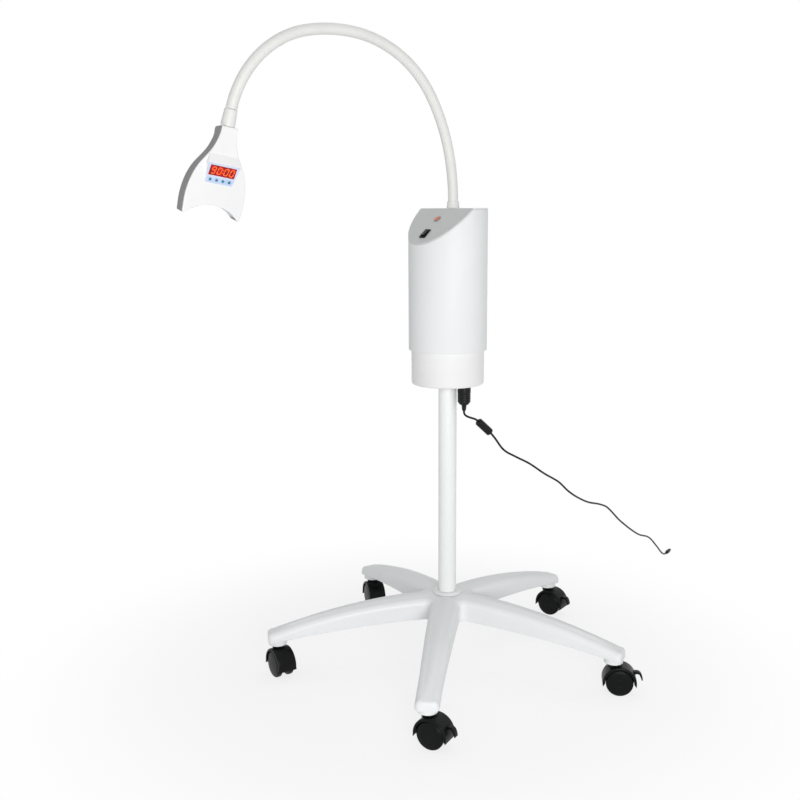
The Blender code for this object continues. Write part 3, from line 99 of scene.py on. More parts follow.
def seen_directly(tree):
    """1 for camera, glossy and transmission rays, 0 for the rays that light the object."""
    path = add(tree, "ShaderNodeLightPath").outputs
    first, second = add(tree, "ShaderNodeMath", "MAXIMUM"), add(tree, "ShaderNodeMath", "MAXIMUM")
    join(tree, (path["Is Camera Ray"], first.inputs[0]), (path["Is Glossy Ray"], first.inputs[1]),
         (first.outputs[0], second.inputs[0]), (path["Is Transmission Ray"], second.inputs[1]))
    return second.outputs[0]


def make_world():
    """Even light from all sides; seen directly, the surround is white."""
    world = bpy.data.worlds.new("studio")
    bpy.context.scene.world = world
    tree = nodes_of(world)
    ambient = add(tree, "ShaderNodeBackground", Color=WHITE, Strength=AMBIENT)
    white = add(tree, "ShaderNodeBackground", Color=WHITE)
    mix, output = add(tree, "ShaderNodeMixShader"), add(tree, "ShaderNodeOutputWorld")
    join(tree, (seen_directly(tree), mix.inputs[0]), (ambient.outputs[0], mix.inputs[1]),
         (white.outputs[0], mix.inputs[2]), (mix.outputs[0], output.inputs[0]))


def make_floor():
    """A flat square; seen directly, its paint is part white, and goes over into white further out."""
    half = FLOOR_SIZE / 2
    corners = [(-half, -half, 0), (half, -half, 0), (half, half, 0), (-half, half, 0)]
    mesh = bpy.data.meshes.new("floor")
    mesh.from_pydata(corners, [], [(0, 1, 2, 3)])
    floor = bpy.data.objects.new("floor", mesh)
    bpy.context.collection.objects.link(floor)
    paper = bpy.data.materials.new("studio_paper")
    tree = nodes_of(paper)
    place = add(tree, "ShaderNodeTexCoord")
    length = add(tree, "ShaderNodeVectorMath", "LENGTH")
    fade = add(tree, "ShaderNodeMapRange", From_Min=FLOOR_FADE[0], From_Max=FLOOR_FADE[1],
               To_Min=FLOOR_GLOW)
    fade.interpolation_type = "SMOOTHSTEP"
    share = add(tree, "ShaderNodeMath", "MULTIPLY")
    matt = add(tree, "ShaderNodeBsdfDiffuse", Color=(FLOOR_PALE, FLOOR_PALE, FLOOR_PALE, 1.0))
    glow, mix = add(tree, "ShaderNodeEmission"), add(tree, "ShaderNodeMixShader")
    output = add(tree, "ShaderNodeOutputMaterial")
    join(tree, (place.outputs["Object"], length.inputs[0]), (length.outputs["Value"], fade.inputs["Value"]),
         (fade.outputs[0], share.inputs[0]), (seen_directly(tree), share.inputs[1]),
         (share.outputs[0], mix.inputs[0]), (matt.outputs[0], mix.inputs[1]),
         (glow.outputs[0], mix.inputs[2]), (mix.outputs[0], output.inputs["Surface"]))
    mesh.materials.append(paper)


def placed(name, data, place, way, roll=0.0):
    """A lamp or camera at a place, with its -Z axis the given way and its Y axis up, then rolled."""
    made = bpy.data.objects.new(name, data)
    bpy.context.collection.objects.link(made)
    made.matrix_world = (Matrix.Translation(place) @ way.to_track_quat("-Z", "Y").to_matrix().to_4x4()
                         @ Matrix.Rotation(math.radians(roll), 4, "Z"))
    return made


def make_lamps():
    """Square area lamps that look at the middle of the stand."""
    target = Vector(AXIS) + Vector((0, 0, LAMP_AIM))
    for name, turn, height, distance, side, watts in LAMPS:
        angle = math.radians(turn)
        place = target + Vector((math.cos(angle) * distance, math.sin(angle) * distance, height - target.z))
        lamp = bpy.data.lights.new(name, "AREA")
        lamp.shape, lamp.size, lamp.energy = "SQUARE", side, watts
        placed(name, lamp, place, target - place)


def make_camera():
    """The camera looks the way that its turn and drop give, and is rolled about that way."""
    turn, drop = math.radians(CAMERA_TURN), math.radians(CAMERA_DROP)
    forward = Vector((math.cos(turn) * math.cos(drop), math.sin(turn) * math.cos(drop), -math.sin(drop)))
    lens = bpy.data.cameras.new("camera")
    lens.sensor_width, lens.lens = SENSOR, LENS
    bpy.context.scene.camera = placed("camera", lens, CAMERA_PLACE, forward, CAMERA_ROLL)


make_world()
make_floor()
make_lamps()
make_camera()
bpy.context.scene.view_settings.view_transform = "Standard"


# Star base: one moulding of glossy white nylon, an arched arm to each castor, with soft shoulders,
# round hollows between the arms at the hub, and a boss for a castor stem under each end.
ARM_COUNT, BASE_TURN = 5, -46.6
ARM_REACH, STEM_CIRCLE, TIP_HEIGHT = 0.3515, 0.333, 0.060
HUB_TOP, HUB_BOTTOM = 0.142, 0.099
ARM_TIP_TOP, ARM_TIP_BOTTOM = 0.086, 0.067
ARM_ROOT_HALF, ARM_TIP_HALF = 0.0295, 0.0210
ARM_CREST, ARM_ROUND, END_ROUND, END_CORNER = 0.0025, 0.013, 0.0040, 0.0095
ARM_RIM, ARM_WALL, ROOF_THICK = 0.0011, 0.0035, 0.0045
HOLLOW_START, HOLLOW_END = 0.095, 0.302
VALLEY_ROUND = 0.0105
BOSS_RADIUS, BOSS_HEIGHT, BOSS_ROUND = 0.0176, 0.0135, 0.0015
COAT_ROUGHNESS, TONE_STOPS, BUMP_DISTANCE = 0.12, (0.35, 0.65), 0.001
CREASE, MERGED, NO_LENGTH = 38.0, 2e-6, 1e-7


def paint(red, green, blue):
    """A colour from the 0 to 255 values that it shows on a screen."""
    share = np.array((red, green, blue)) / 255
    return (*np.where(share <= 0.04045, share / 12.92, ((share + 0.055) / 1.055) ** 2.4), 1.0)


def finish(name, colour, other, roughness, grain=400.0, depth=0.02, patch=12.0, metallic=0.0, coat=0.0,
           specular=0.5, glow=0.0):
    """A moulded, painted or metal surface on Object coordinates: two close tones in broad soft patches,
    roughness that wanders by a fifth, and a fine grain as bump."""
    made = bpy.data.materials.new(name)
    made.use_nodes = True
    tree = made.node_tree
    shader = tree.nodes["Principled BSDF"].inputs
    for socket, value in (("Metallic", metallic), ("Coat Weight", coat), ("Coat Roughness", COAT_ROUGHNESS),
                          ("Specular IOR Level", specular)):
        shader[socket].default_value = value
    place = add(tree, "ShaderNodeTexCoord").outputs["Object"]
    broad = add(tree, "ShaderNodeTexNoise", Scale=patch, Detail=3.0)
    fine = add(tree, "ShaderNodeTexNoise", Scale=grain, Detail=2.0)
    tone = add(tree, "ShaderNodeValToRGB")
    for stop, position, shade in zip(tone.color_ramp.elements, TONE_STOPS, (other, colour)):
        stop.position, stop.color = position, shade
    dull = add(tree, "ShaderNodeMapRange", To_Min=roughness * 0.9, To_Max=roughness * 1.1)
    bump = add(tree, "ShaderNodeBump", Strength=depth, Distance=BUMP_DISTANCE)
    join(tree, (place, broad.inputs["Vector"]), (place, fine.inputs["Vector"]),
         (broad.outputs["Fac"], tone.inputs["Fac"]), (broad.outputs["Fac"], dull.inputs["Value"]),
         (fine.outputs["Fac"], bump.inputs["Height"]), (tone.outputs["Color"], shader["Base Color"]),
         (dull.outputs[0], shader["Roughness"]), (bump.outputs["Normal"], shader["Normal"]))
    if glow:
        join(tree, (tone.outputs["Color"], shader["Emission Color"]))
        shader["Emission Strength"].default_value = glow
    return made


BASE_WHITE = finish("base_gloss_white", paint(241, 243, 244), paint(238, 240, 241), 0.36, 260.0, 0.03, 9.0,
                    specular=0.34)


def skin(name, grids, material, body=None):
    """One piece from grids of points, each (rows, columns, 3): four neighbours make a face. Points that
    meet are merged, which closes seams and poles, and the faces are turned outwards."""
    points, faces, start = [], [], 0
    for grid in grids:
        rows, columns = grid.shape[:2]
        index = start + np.arange(rows * columns).reshape(rows, columns)
        faces.append(np.stack([index[:-1, :-1], index[:-1, 1:], index[1:, 1:], index[1:, :-1]], axis=-1)
                     .reshape(-1, 4))
        points.append(grid.reshape(-1, 3))
        start += rows * columns
    mesh = bpy.data.meshes.new(name)
    mesh.from_pydata(np.vstack(points).tolist(), [], np.vstack(faces).tolist())
    shape = bmesh.new()
    shape.from_mesh(mesh)
    bmesh.ops.remove_doubles(shape, verts=shape.verts, dist=MERGED)
    bmesh.ops.dissolve_degenerate(shape, edges=shape.edges, dist=NO_LENGTH)
    bmesh.ops.recalc_face_normals(shape, faces=shape.faces)
    shape.to_mesh(mesh)
    shape.free()
    mesh.shade_smooth()
    mesh.set_sharp_from_angle(angle=math.radians(CREASE))
    mesh.materials.append(material)
    piece = bpy.data.objects.new(name, mesh)
    bpy.context.collection.objects.link(piece)
    if body:
        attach(piece, body)
    return piece


def moved(points, place):
    """Points carried by a 4 by 4 matrix."""
    matrix = np.array(place)
    return points @ matrix[:3, :3].T + matrix[:3, 3]


def softened(corners, radius, steps=5, closed=False):
    """A line of corners, each rounded by a quadratic curve between points a radius away on its two
    edges, or half an edge away where that is less. Points that fall together are kept once."""
    corners = np.array(corners, float)
    before, after = np.roll(corners, 1, axis=0), np.roll(corners, -1, axis=0)
    radius = np.broadcast_to(np.asarray(radius, float), (len(corners),))[:, None]
    back, ahead = before - corners, after - corners
    back_length = np.linalg.norm(back, axis=1, keepdims=True)
    ahead_length = np.linalg.norm(ahead, axis=1, keepdims=True)
    first = corners + back / back_length * np.minimum(radius, back_length / 2)
    last = corners + ahead / ahead_length * np.minimum(radius, ahead_length / 2)
    t = np.linspace(0, 1, steps)[None, :, None]
    rounded = ((1 - t) ** 2 * first[:, None] + 2 * t * (1 - t) * corners[:, None] + t ** 2 * last[:, None])
    if closed:
        line = rounded.reshape(-1, corners.shape[1])
        line = np.vstack([line, line[:1]])
    else:
        line = np.vstack([corners[:1], rounded[1:-1].reshape(-1, corners.shape[1]), corners[-1:]])
    apart = np.linalg.norm(np.diff(line, axis=0), axis=1) > 1e-6
    return np.vstack([line[:-1][apart], line[-1:]])


def turned(profile, sides=96):
    """A grid turned about Z: each row is one (radius, height) pair, each column one angle."""
    profile = np.array(profile, float)
    angle = np.linspace(0, math.tau, sides + 1)
    return np.stack([profile[:, :1] * np.cos(angle), profile[:, :1] * np.sin(angle),
                     np.repeat(profile[:, 1:], sides + 1, axis=1)], axis=-1)


def stand_place(x=0.0, y=0.0, z=0.0, turn=0.0):
    """A frame on the stand: x and y from the column's axis, z from the floor, turned about Z."""
    return Matrix.Translation(Vector(AXIS) + Vector((x, y, z))) @ Matrix.Rotation(math.radians(turn), 4, "Z")


def arm_heights(x):
    """Shoulder and bottom of an arm: both fall from hub to tip by a power of the distance."""
    share = np.clip(x / ARM_REACH, 0, 1)
    shoulder = HUB_TOP - ARM_CREST - (HUB_TOP - ARM_TIP_TOP) * share ** 2.1
    bottom = HUB_BOTTOM - (HUB_BOTTOM - ARM_TIP_BOTTOM) * share ** 1.9
    return shoulder, bottom


def arm_half(x):
    """Half width of an arm: a straight taper over the first four fifths of its reach."""
    return ARM_ROOT_HALF + (ARM_TIP_HALF - ARM_ROOT_HALF) * np.minimum(1, x / ARM_REACH * 1.25)


def arm_outline():
    """Half of one arm's outline and its inward direction, from the hollow beside the hub to the middle of
    the end: an arc about a centre on the line between two arms, the side, a corner arc, the end."""
    slope = (ARM_ROOT_HALF - ARM_TIP_HALF) / ARM_REACH * 1.25
    between = math.pi / ARM_COUNT
    centre = (ARM_ROOT_HALF + VALLEY_ROUND) / (math.sin(between) + slope * math.cos(between))
    arc = np.linspace(math.pi + between, math.pi * 1.5 - slope, 12)
    ways = [np.stack([np.cos(arc), np.sin(arc)], axis=1)]
    lines = [np.array((math.cos(between), math.sin(between))) * centre + ways[0] * VALLEY_ROUND]
    wall = np.array((-0.0006, 0.0006))
    along = np.unique(np.concatenate([np.linspace(lines[0][-1, 0], ARM_REACH - END_CORNER, 44),
                                      HOLLOW_START + wall, HOLLOW_END + wall]))[1:]
    lines.append(np.stack([along, arm_half(along)], axis=1))
    ways.append(np.tile((0.0, -1.0), (len(along), 1)))
    corner = np.linspace(math.pi / 2, 0, 11)[1:]
    ways.append(-np.stack([np.cos(corner), np.sin(corner)], axis=1))
    lines.append(np.array((ARM_REACH - END_CORNER, ARM_TIP_HALF - END_CORNER)) - ways[2] * END_CORNER)
    end = np.linspace(ARM_TIP_HALF - END_CORNER, 0, 6)[1:]
    lines.append(np.stack([np.full(5, ARM_REACH), end], axis=1))
    ways.append(np.tile((-1.0, 0.0), (5, 1)))
    return np.vstack(lines), np.vstack(ways), len(arc), len(arc) + len(along)


def half_arm():
    """Half of one arm as a grid: each row starts on the arm's middle line on top, goes out over the
    shoulder's quarter round, down the side, round the rim, and back in under the roof of the hollow."""
    line, way, valley_rows, side_rows = arm_outline()
    rows = len(line)
    shoulder, bottom = arm_heights(line[:, 0])
    past_side = np.clip((np.arange(rows) - side_rows) / 10, 0, 1)
    round_size = np.minimum(ARM_ROUND, (shoulder - bottom) * 0.70) * (1 - past_side) + END_ROUND * past_side
    quarter = np.linspace(math.pi / 2, 0, 9)
    inset = round_size[:, None] * (1 - np.cos(quarter))
    shoulder_line = line[:, None] + way[:, None] * inset[..., None]
    shoulder_z = arm_heights(shoulder_line[..., 0])[0] - round_size[:, None] * (1 - np.sin(quarter))
    middle = line[:, 0].copy()
    middle[:valley_rows] = np.linspace(0, line[valley_rows - 1, 0], valley_rows)
    middle[side_rows:] = np.linspace(middle[side_rows - 1], shoulder_line[-1, 0, 0], rows - side_rows + 1)[1:]
    core = np.stack([middle, np.zeros(rows)], axis=1)
    across = np.linspace(0, 1, 9)[:-1]
    top = core[:, None] + (shoulder_line[:, :1] - core[:, None]) * across[None, :, None]
    fade = np.clip((shoulder_line[-1, 0, 0] - middle) / 0.05, 0, 1)
    crest = ARM_CREST * fade ** 2 * (3 - 2 * fade)
    top_z = arm_heights(top[..., 0])[0] + crest[:, None] * (1 - across ** 2)
    down = np.linspace(0, 1, 5)[1:]
    side = np.repeat(line[:, None], 4, axis=1)
    side_top = (shoulder - round_size)[:, None]
    side_z = side_top + (bottom[:, None] + ARM_RIM - side_top) * down
    rim_turn = np.linspace(0, math.pi / 2, 5)[1:]
    rim = line[:, None] + way[:, None] * (ARM_RIM * (1 - np.cos(rim_turn)))[None, :, None]
    rim_z = bottom[:, None] + ARM_RIM * (1 - np.sin(rim_turn))
    hollow = ((line[:, 0] > HOLLOW_START) & (line[:, 0] < HOLLOW_END)).astype(float)
    roof = bottom + (shoulder - ROOF_THICK - bottom) * hollow
    foot = line + way * ARM_WALL
    wall = line + way * (ARM_WALL + ROOF_THICK / 8)
    under = wall[:, None] + (core - wall)[:, None] * np.linspace(0, 1, 6)[None, :, None]
    flat = np.concatenate([top, shoulder_line, side, rim, foot[:, None], under], axis=1)
    height = np.concatenate([top_z, shoulder_z, side_z, rim_z, bottom[:, None],
                             np.repeat(roof[:, None], 6, axis=1)], axis=1)
    return np.concatenate([flat, height[..., None]], axis=-1)


def make_base():
    """Five arms, each two halves, and a round boss with a softened rim under each end."""
    half = half_arm()
    mirrored = half * np.array((1.0, -1.0, 1.0))
    corners = [(0, 0), (BOSS_RADIUS, 0), (BOSS_RADIUS, BOSS_HEIGHT), (0, BOSS_HEIGHT)]
    boss = turned(softened(corners, BOSS_ROUND), 64)
    grids = []
    for k in range(ARM_COUNT):
        turn = stand_place(turn=BASE_TURN + 360 / ARM_COUNT * k)
        grids += [moved(half, turn), moved(mirrored, turn),
                  moved(boss, turn @ Matrix.Translation((STEM_CIRCLE, 0, TIP_HEIGHT)))]
    base = skin("five_arm_base", grids, BASE_WHITE, "stand")
    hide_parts("star_base")


make_base()


# Castors: twin wheels under a mudguard, all black nylon, on a steel stem pressed into the arm's boss;
# three of them carry a hooked pedal that presses on the wheels.
CASTORS = (("front_right", 22.0, True), ("right", 44.0, True), ("rear", 16.0, True),
           ("left", -20.0, False), ("front_left", -6.0, False))
CASTOR_TRAIL, WHEEL_RADIUS, WHEEL_WIDTH, WHEEL_DOME, WHEEL_GAP = 0.0115, 0.0250, 0.0112, 0.0030, 0.0005
KEEL_HALF, AXLE_RADIUS = 0.0066, 0.0030
HOOD_RADIUS, HOOD_INNER, HOOD_DROP, HOOD_EDGE = 0.0310, 0.0262, 12.0, 0.0032
HOUSING_RADIUS, HOUSING_TOP, HOUSING_STEP, HOUSING_LOW = 0.0105, 0.0582, 0.0512, 0.0370
CLEARANCE = 0.0003
STEM_LOW, STEM_COLLAR_LOW, STEM_TOP, STEM_HOLE_LOW = 0.0560, 0.0585, 0.0750, 0.0555
STEM_PIN_RADIUS, STEM_COLLAR_RADIUS, STEM_RADIUS, STEM_HOLE_RADIUS = 0.0042, 0.0085, 0.0055, 0.0046
LEVER_PLACE, LEVER_REACH, LEVER_HALF_WIDTH = (0.0240, 0.0155, 0.0), 0.0185, 0.0050
HOOK_SHARES = ((0.00, 0.16), (0.32, 0.21), (0.58, 0.18), (0.80, 0.02), (0.94, -0.30), (1.00, -0.66),
               (0.92, -0.72), (0.86, -0.66), (0.79, -0.32), (0.64, -0.08), (0.42, -0.02), (0.00, -0.16))

CASTOR_BLACK = finish("castor_black", paint(13, 14, 15), paint(9, 10, 11), 0.34, 900.0, 0.08, 40.0,
                      specular=0.13)
TREAD_BLACK = finish("wheel_black", paint(13, 14, 15), paint(9, 10, 11), 0.30, 700.0, 0.05, 60.0,
                      specular=0.13)
STEM_STEEL = finish("stem_steel", paint(190, 191, 193), paint(170, 171, 173), 0.28, 500.0, 0.03, 50.0,
                    metallic=1.0)


def inset(outline, amount):
    """A closed outline drawn inwards along the mean of its two edges' normals."""
    ahead = np.roll(outline, -1, axis=0) - outline
    behind = outline - np.roll(outline, 1, axis=0)
    ahead = ahead / np.linalg.norm(ahead, axis=1, keepdims=True)
    behind = behind / np.linalg.norm(behind, axis=1, keepdims=True)
    middle = np.stack([-(ahead + behind)[:, 1], (ahead + behind)[:, 0]], axis=1)
    middle /= np.linalg.norm(middle, axis=1, keepdims=True)
    reach = amount / np.maximum(0.5, middle[:, 1] * ahead[:, 0] - middle[:, 0] * ahead[:, 1])
    return outline + middle * reach[:, None]


def slab(outline, low, high, edge, centre=None, steps=4):
    """An anticlockwise outline raised from low to high: both rims are quarter rounds, and each flat
    face is a fan about the centre."""
    turn = np.linspace(0, math.pi / 2, steps)
    insets = np.concatenate([[edge * 1.6], edge * (1 - np.sin(turn))])
    heights = np.concatenate([[0], edge * (1 - np.cos(turn))])
    centre = outline.mean(axis=0) if centre is None else np.array(centre)
    rows = [np.column_stack([inset(outline, amount), np.full(len(outline), low + height)])
            for amount, height in zip(insets, heights)]
    rows += [np.column_stack([inset(outline, amount), np.full(len(outline), high - height)])
             for amount, height in zip(insets[::-1], heights[::-1])]
    poles = [np.tile((*centre, height), (len(outline), 1)) for height in (low, high)]
    grid = np.stack([poles[0], *rows, poles[1]])
    return np.concatenate([grid, grid[:, :1]], axis=1)


def arc(radius, start, end, steps):
    """Points on an arc, angles in degrees."""
    angle = np.radians(np.linspace(start, end, steps + 1))
    return np.stack([radius * np.cos(angle), radius * np.sin(angle)], axis=1)


def guard():
    """The mudguard: a rounded section carried about the axle, thinned towards its outer face at both
    ends; z lies along the axle."""
    half = KEEL_HALF + WHEEL_GAP + WHEEL_WIDTH
    section = softened([(HOOD_INNER, -half), (HOOD_RADIUS, -half), (HOOD_RADIUS, half), (HOOD_INNER, half)],
                       np.array((0.0004, HOOD_EDGE, HOOD_EDGE, 0.0004)), 6, closed=True)
    angle = np.radians(np.linspace(-HOOD_DROP, 180 + HOOD_DROP, 61))
    from_end = math.radians(HOOD_DROP) + np.minimum(angle, math.pi - angle)
    share = np.clip(from_end / math.radians(HOOD_DROP * 0.8), 0.12, 1)
    radius = HOOD_RADIUS - (HOOD_RADIUS - section[:, 0]) * share[:, None]
    height = np.tile(section[:, 1], (len(angle), 1))
    rows = np.stack([radius * np.cos(angle)[:, None], radius * np.sin(angle)[:, None], height], axis=-1)
    ends = [np.tile(row.mean(axis=0), (len(section), 1))[None] for row in (rows[0], rows[-1])]
    return np.concatenate([ends[0], rows, ends[1]])


def keel():
    """The web between the wheels, from the guard down to the axle's eye."""
    outline = np.vstack([arc((HOOD_INNER + HOOD_RADIUS) / 2, 0, 180, 40),
                         arc(AXLE_RADIUS * 2.6, 215, 325, 16)])
    return slab(outline, -KEEL_HALF, KEEL_HALF, 0.0006, (0.0, AXLE_RADIUS))


def wheel_pair():
    """Both wheels as one turned piece: domed outer faces with a raised boss and a groove inside the
    tread, on a common axle."""
    inner = KEEL_HALF + WHEEL_GAP
    outer = inner + WHEEL_WIDTH
    edge = outer - WHEEL_DOME
    half = [(AXLE_RADIUS, inner), (WHEEL_RADIUS * 0.93, inner), (WHEEL_RADIUS, inner + 0.0012),
            (WHEEL_RADIUS, edge), (WHEEL_RADIUS * 0.93, edge + WHEEL_DOME * 0.42),
            (WHEEL_RADIUS * 0.86, edge + WHEEL_DOME * 0.56), (WHEEL_RADIUS * 0.845, edge + WHEEL_DOME * 0.44),
            (WHEEL_RADIUS * 0.83, edge + WHEEL_DOME * 0.60), (WHEEL_RADIUS * 0.60, edge + WHEEL_DOME * 0.84),
            (WHEEL_RADIUS * 0.30, edge + WHEEL_DOME * 0.95), (WHEEL_RADIUS * 0.28, edge + WHEEL_DOME * 0.86),
            (WHEEL_RADIUS * 0.26, edge + WHEEL_DOME * 0.97), (0.0, outer)]
    profile = np.array([(radius, -height) for radius, height in half[::-1]] + half)
    size = np.full(len(profile), 0.0012)
    size[[6, 7, 8, -9, -8, -7]] = 0.0003
    return turned(softened(profile, size, 4), 72)


def make_castors():
    """Each castor stands on the stems' circle, turned by its own trail about its stem."""
    foot, collar_top = KEEL_HALF - 0.0006, TIP_HEIGHT - CLEARANCE
    housing = turned(softened([(0, HOUSING_LOW), (foot, HOUSING_LOW), (foot, HOUSING_STEP),
                               (HOUSING_RADIUS, HOUSING_STEP), (HOUSING_RADIUS, HOUSING_TOP),
                               (STEM_HOLE_RADIUS, HOUSING_TOP), (STEM_HOLE_RADIUS, STEM_HOLE_LOW),
                               (0, STEM_HOLE_LOW)], 0.0009), 48)
    stem = turned(softened([(0, STEM_LOW), (STEM_PIN_RADIUS, STEM_LOW), (STEM_PIN_RADIUS, STEM_COLLAR_LOW),
                            (STEM_COLLAR_RADIUS, STEM_COLLAR_LOW), (STEM_COLLAR_RADIUS, collar_top),
                            (STEM_RADIUS, collar_top), (STEM_RADIUS, STEM_TOP), (0, STEM_TOP)],
                           0.0003), 48)
    hook = softened(np.array(HOOK_SHARES)[::-1] * LEVER_REACH, 0.0016, 5, closed=True)[:-1]
    barrel = arc(0.0030, 0, 360, 32)[:-1]
    guards, webs, wheels = guard(), keel(), wheel_pair()
    for k, (name, trail, braked) in enumerate(CASTORS):
        turn = math.radians(BASE_TURN + 360 / ARM_COUNT * k)
        castor = stand_place(STEM_CIRCLE * math.cos(turn), STEM_CIRCLE * math.sin(turn), 0, trail)
        axle = (castor @ Matrix.Translation((CASTOR_TRAIL, 0, WHEEL_RADIUS))
                @ Matrix.Rotation(math.pi / 2, 4, "X"))
        hood = skin(f"{name}_guard", [moved(guards, axle), moved(webs, axle), moved(housing, castor)],
                    CASTOR_BLACK, f"{name}_castor")
        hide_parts(f"{name}_hood")
        pair = skin(f"{name}_twin_wheels", [moved(wheels, axle)], TREAD_BLACK, f"{name}_wheel_pair")
        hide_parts(f"{name}_wheels")
        pin = skin(f"{name}_stem_pin", [moved(stem, castor)], STEM_STEEL, "stand")
        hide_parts(f"{name}_stem")
        if braked:
            pivot = axle @ Matrix.Translation(LEVER_PLACE)
            grids = [moved(slab(hook, -LEVER_HALF_WIDTH, LEVER_HALF_WIDTH, 0.0005,
                                (LEVER_REACH * 0.55, LEVER_REACH * 0.06)), pivot),
                     moved(slab(barrel, -LEVER_HALF_WIDTH, LEVER_HALF_WIDTH, 0.0004), pivot)]
            pedal = skin(f"{name}_pedal", grids, CASTOR_BLACK, f"{name}_lever")
            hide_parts(f"{name}_brake_lever")


make_castors()


# Column: a steel tube in white powder coat, stuck in the hub, with a moulded ring over the joint.
COLUMN_RADIUS, COLUMN_WALL, COLUMN_FOOT, COLUMN_TOP = 0.0172, 0.0016, 0.1028, 0.6130
RING_RADIUS, RING_HEIGHT, RING_LIP = 0.0290, 0.0045, 0.0022

COAT_WHITE = finish("powder_coat_white", paint(238, 239, 240), paint(235, 236, 237), 0.46, 1100.0, 0.08, 7.0,
                    specular=0.25)
COLUMN_WHITE = finish("column_coat_white", paint(245, 246, 246), paint(242, 243, 243), 0.36, 1100.0,
                      0.06, 7.0,
                      specular=0.35)
PLASTIC_WHITE = finish("moulded_white", paint(241, 241, 241), paint(238, 238, 238), 0.36, 500.0, 0.04, 14.0,
                       specular=0.30)


def make_column():
    """A tube, and a ring whose upper side falls towards its rim."""
    inner = COLUMN_RADIUS - COLUMN_WALL
    tube = turned(softened([(inner, COLUMN_FOOT), (COLUMN_RADIUS, COLUMN_FOOT), (COLUMN_RADIUS, COLUMN_TOP),
                            (inner, COLUMN_TOP)], 0.0004, closed=True), 96)
    column = skin("coated_column", [moved(tube, stand_place())], COLUMN_WHITE, "stand")
    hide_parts("column_tube")
    bore = COLUMN_RADIUS + CLEARANCE
    low, high = HUB_TOP + CLEARANCE, HUB_TOP + RING_HEIGHT
    profile = [(bore, low), (RING_RADIUS, low), (RING_RADIUS, low + 0.0012), (RING_RADIUS - 0.005, high),
               (bore, high - 0.0004)]
    size = np.array((0.0002, 0.0003, 0.0012, RING_LIP, 0.0003))
    ring = turned(softened(profile, size, 7, closed=True), 96)
    collar = skin("foot_ring", [moved(ring, stand_place())], PLASTIC_WHITE, "stand")
    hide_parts("column_ring")


make_column()


# Power box: a rolled steel shell in white powder coat, cut off at a slant on top, closed by a flat white
# plate and a slanted grey one that are screwed from inside, with a moulded cup pushed in below.
BOX_RADIUS, BOX_WALL, BOX_TOP, BOX_BOTTOM = 0.0730, 0.0025, 0.8805, 0.6210
PANEL_SLOPE, PANEL_EDGE, PLATE_THICK = 42.0, 0.0043, 0.0022
CAP_RADIUS, CAP_HEIGHT, CAP_FLOOR, CAP_ROUND, SPIGOT_HEIGHT = 0.0680, 0.065, 0.0030, 0.0050, 0.012
SHELL_RIM, PLATE_RIM = 0.0005, 0.0004

PANEL_GREY = finish("panel_grey", paint(212, 214, 214), paint(208, 210, 210), 0.44, 1300.0, 0.10, 16.0,
                    specular=0.35)
CLAMP_STEEL = finish("clamp_steel", paint(170, 171, 173), paint(150, 151, 153), 0.36, 600.0, 0.05, 40.0,
                    metallic=1.0)
BOARD_GREEN = finish("board_green", paint(38, 98, 62), paint(28, 84, 52), 0.40, 900.0, 0.10, 120.0)


def fall(y):
    """The slanted plane's height against the flat top: none behind the edge, then a straight slope."""
    return np.minimum(0, y + PANEL_EDGE) * math.tan(math.radians(PANEL_SLOPE))


def box_shell():
    """A tube whose upper rim follows the flat top and the slant: a closed profile for each angle."""
    start = math.asin(PANEL_EDGE / BOX_RADIUS)
    at_edge = (math.pi + start, math.pi + start - 0.01, math.tau - start, math.tau - start + 0.01)
    angle = np.unique(np.concatenate([np.linspace(0, math.tau, 193), at_edge]))
    rise = PLATE_THICK / math.cos(math.radians(PANEL_SLOPE))

    def upper(radius):
        """The shell's upper edge: the top's height less the plate that lies on it there, and its fall."""
        y = radius * np.sin(angle)
        return BOX_TOP - np.where(y > -PANEL_EDGE, PLATE_THICK, rise) - 0.0002 + fall(y)

    inner = BOX_RADIUS - BOX_WALL
    turn = np.linspace(0, math.pi / 2, 4)
    outward = np.concatenate([[inner, inner], BOX_RADIUS - SHELL_RIM * (1 - np.sin(turn)),
                              BOX_RADIUS - SHELL_RIM * (1 - np.cos(turn)), [inner]])
    lifts = np.concatenate([[SHELL_RIM, 0], SHELL_RIM * (1 - np.cos(turn)),
                            -SHELL_RIM * (1 - np.sin(turn)), [0]])
    tops = np.array([0] * 6 + [1] * 5)
    rows = [np.stack([radius * np.cos(angle), radius * np.sin(angle),
                      lift + (upper(radius) if top else np.full(len(angle), BOX_BOTTOM))], axis=1)
            for radius, lift, top in zip(outward, lifts, tops)]
    return np.stack([*rows, rows[0]])


def plate(front, thick):
    """Half of the top: a disc's outline cut off at the edge line, raised along the plane it lies in, with
    softened rims, and a fan for each face."""
    start = math.asin(PANEL_EDGE / BOX_RADIUS) * (1 if front else -1)
    first = math.pi + start if front else start
    last = math.tau - start if front else math.pi - start
    outline = arc(BOX_RADIUS, math.degrees(first), math.degrees(last), 96)
    outline[:, 1] += 0 if front else CLEARANCE
    rows = []
    for amount, drop in ((0.0012, thick), (PLATE_RIM, thick), (0, thick - PLATE_RIM), (0, PLATE_RIM),
                         (PLATE_RIM * 0.3, PLATE_RIM * 0.3), (PLATE_RIM, 0), (0.0012, 0)):
        flat = inset(outline, amount) if amount else outline
        rows.append(np.column_stack([flat, BOX_TOP - drop + fall(flat[:, 1])]))
    poles = []
    for drop in (thick, 0):
        centre = (0.0, outline[:, 1].mean())
        poles.append(np.tile((*centre, BOX_TOP - drop + fall(np.array(centre[1]))), (len(outline), 1)))
    grid = np.stack([poles[0], *rows, poles[1]])
    return np.concatenate([grid, grid[:, :1]], axis=1)


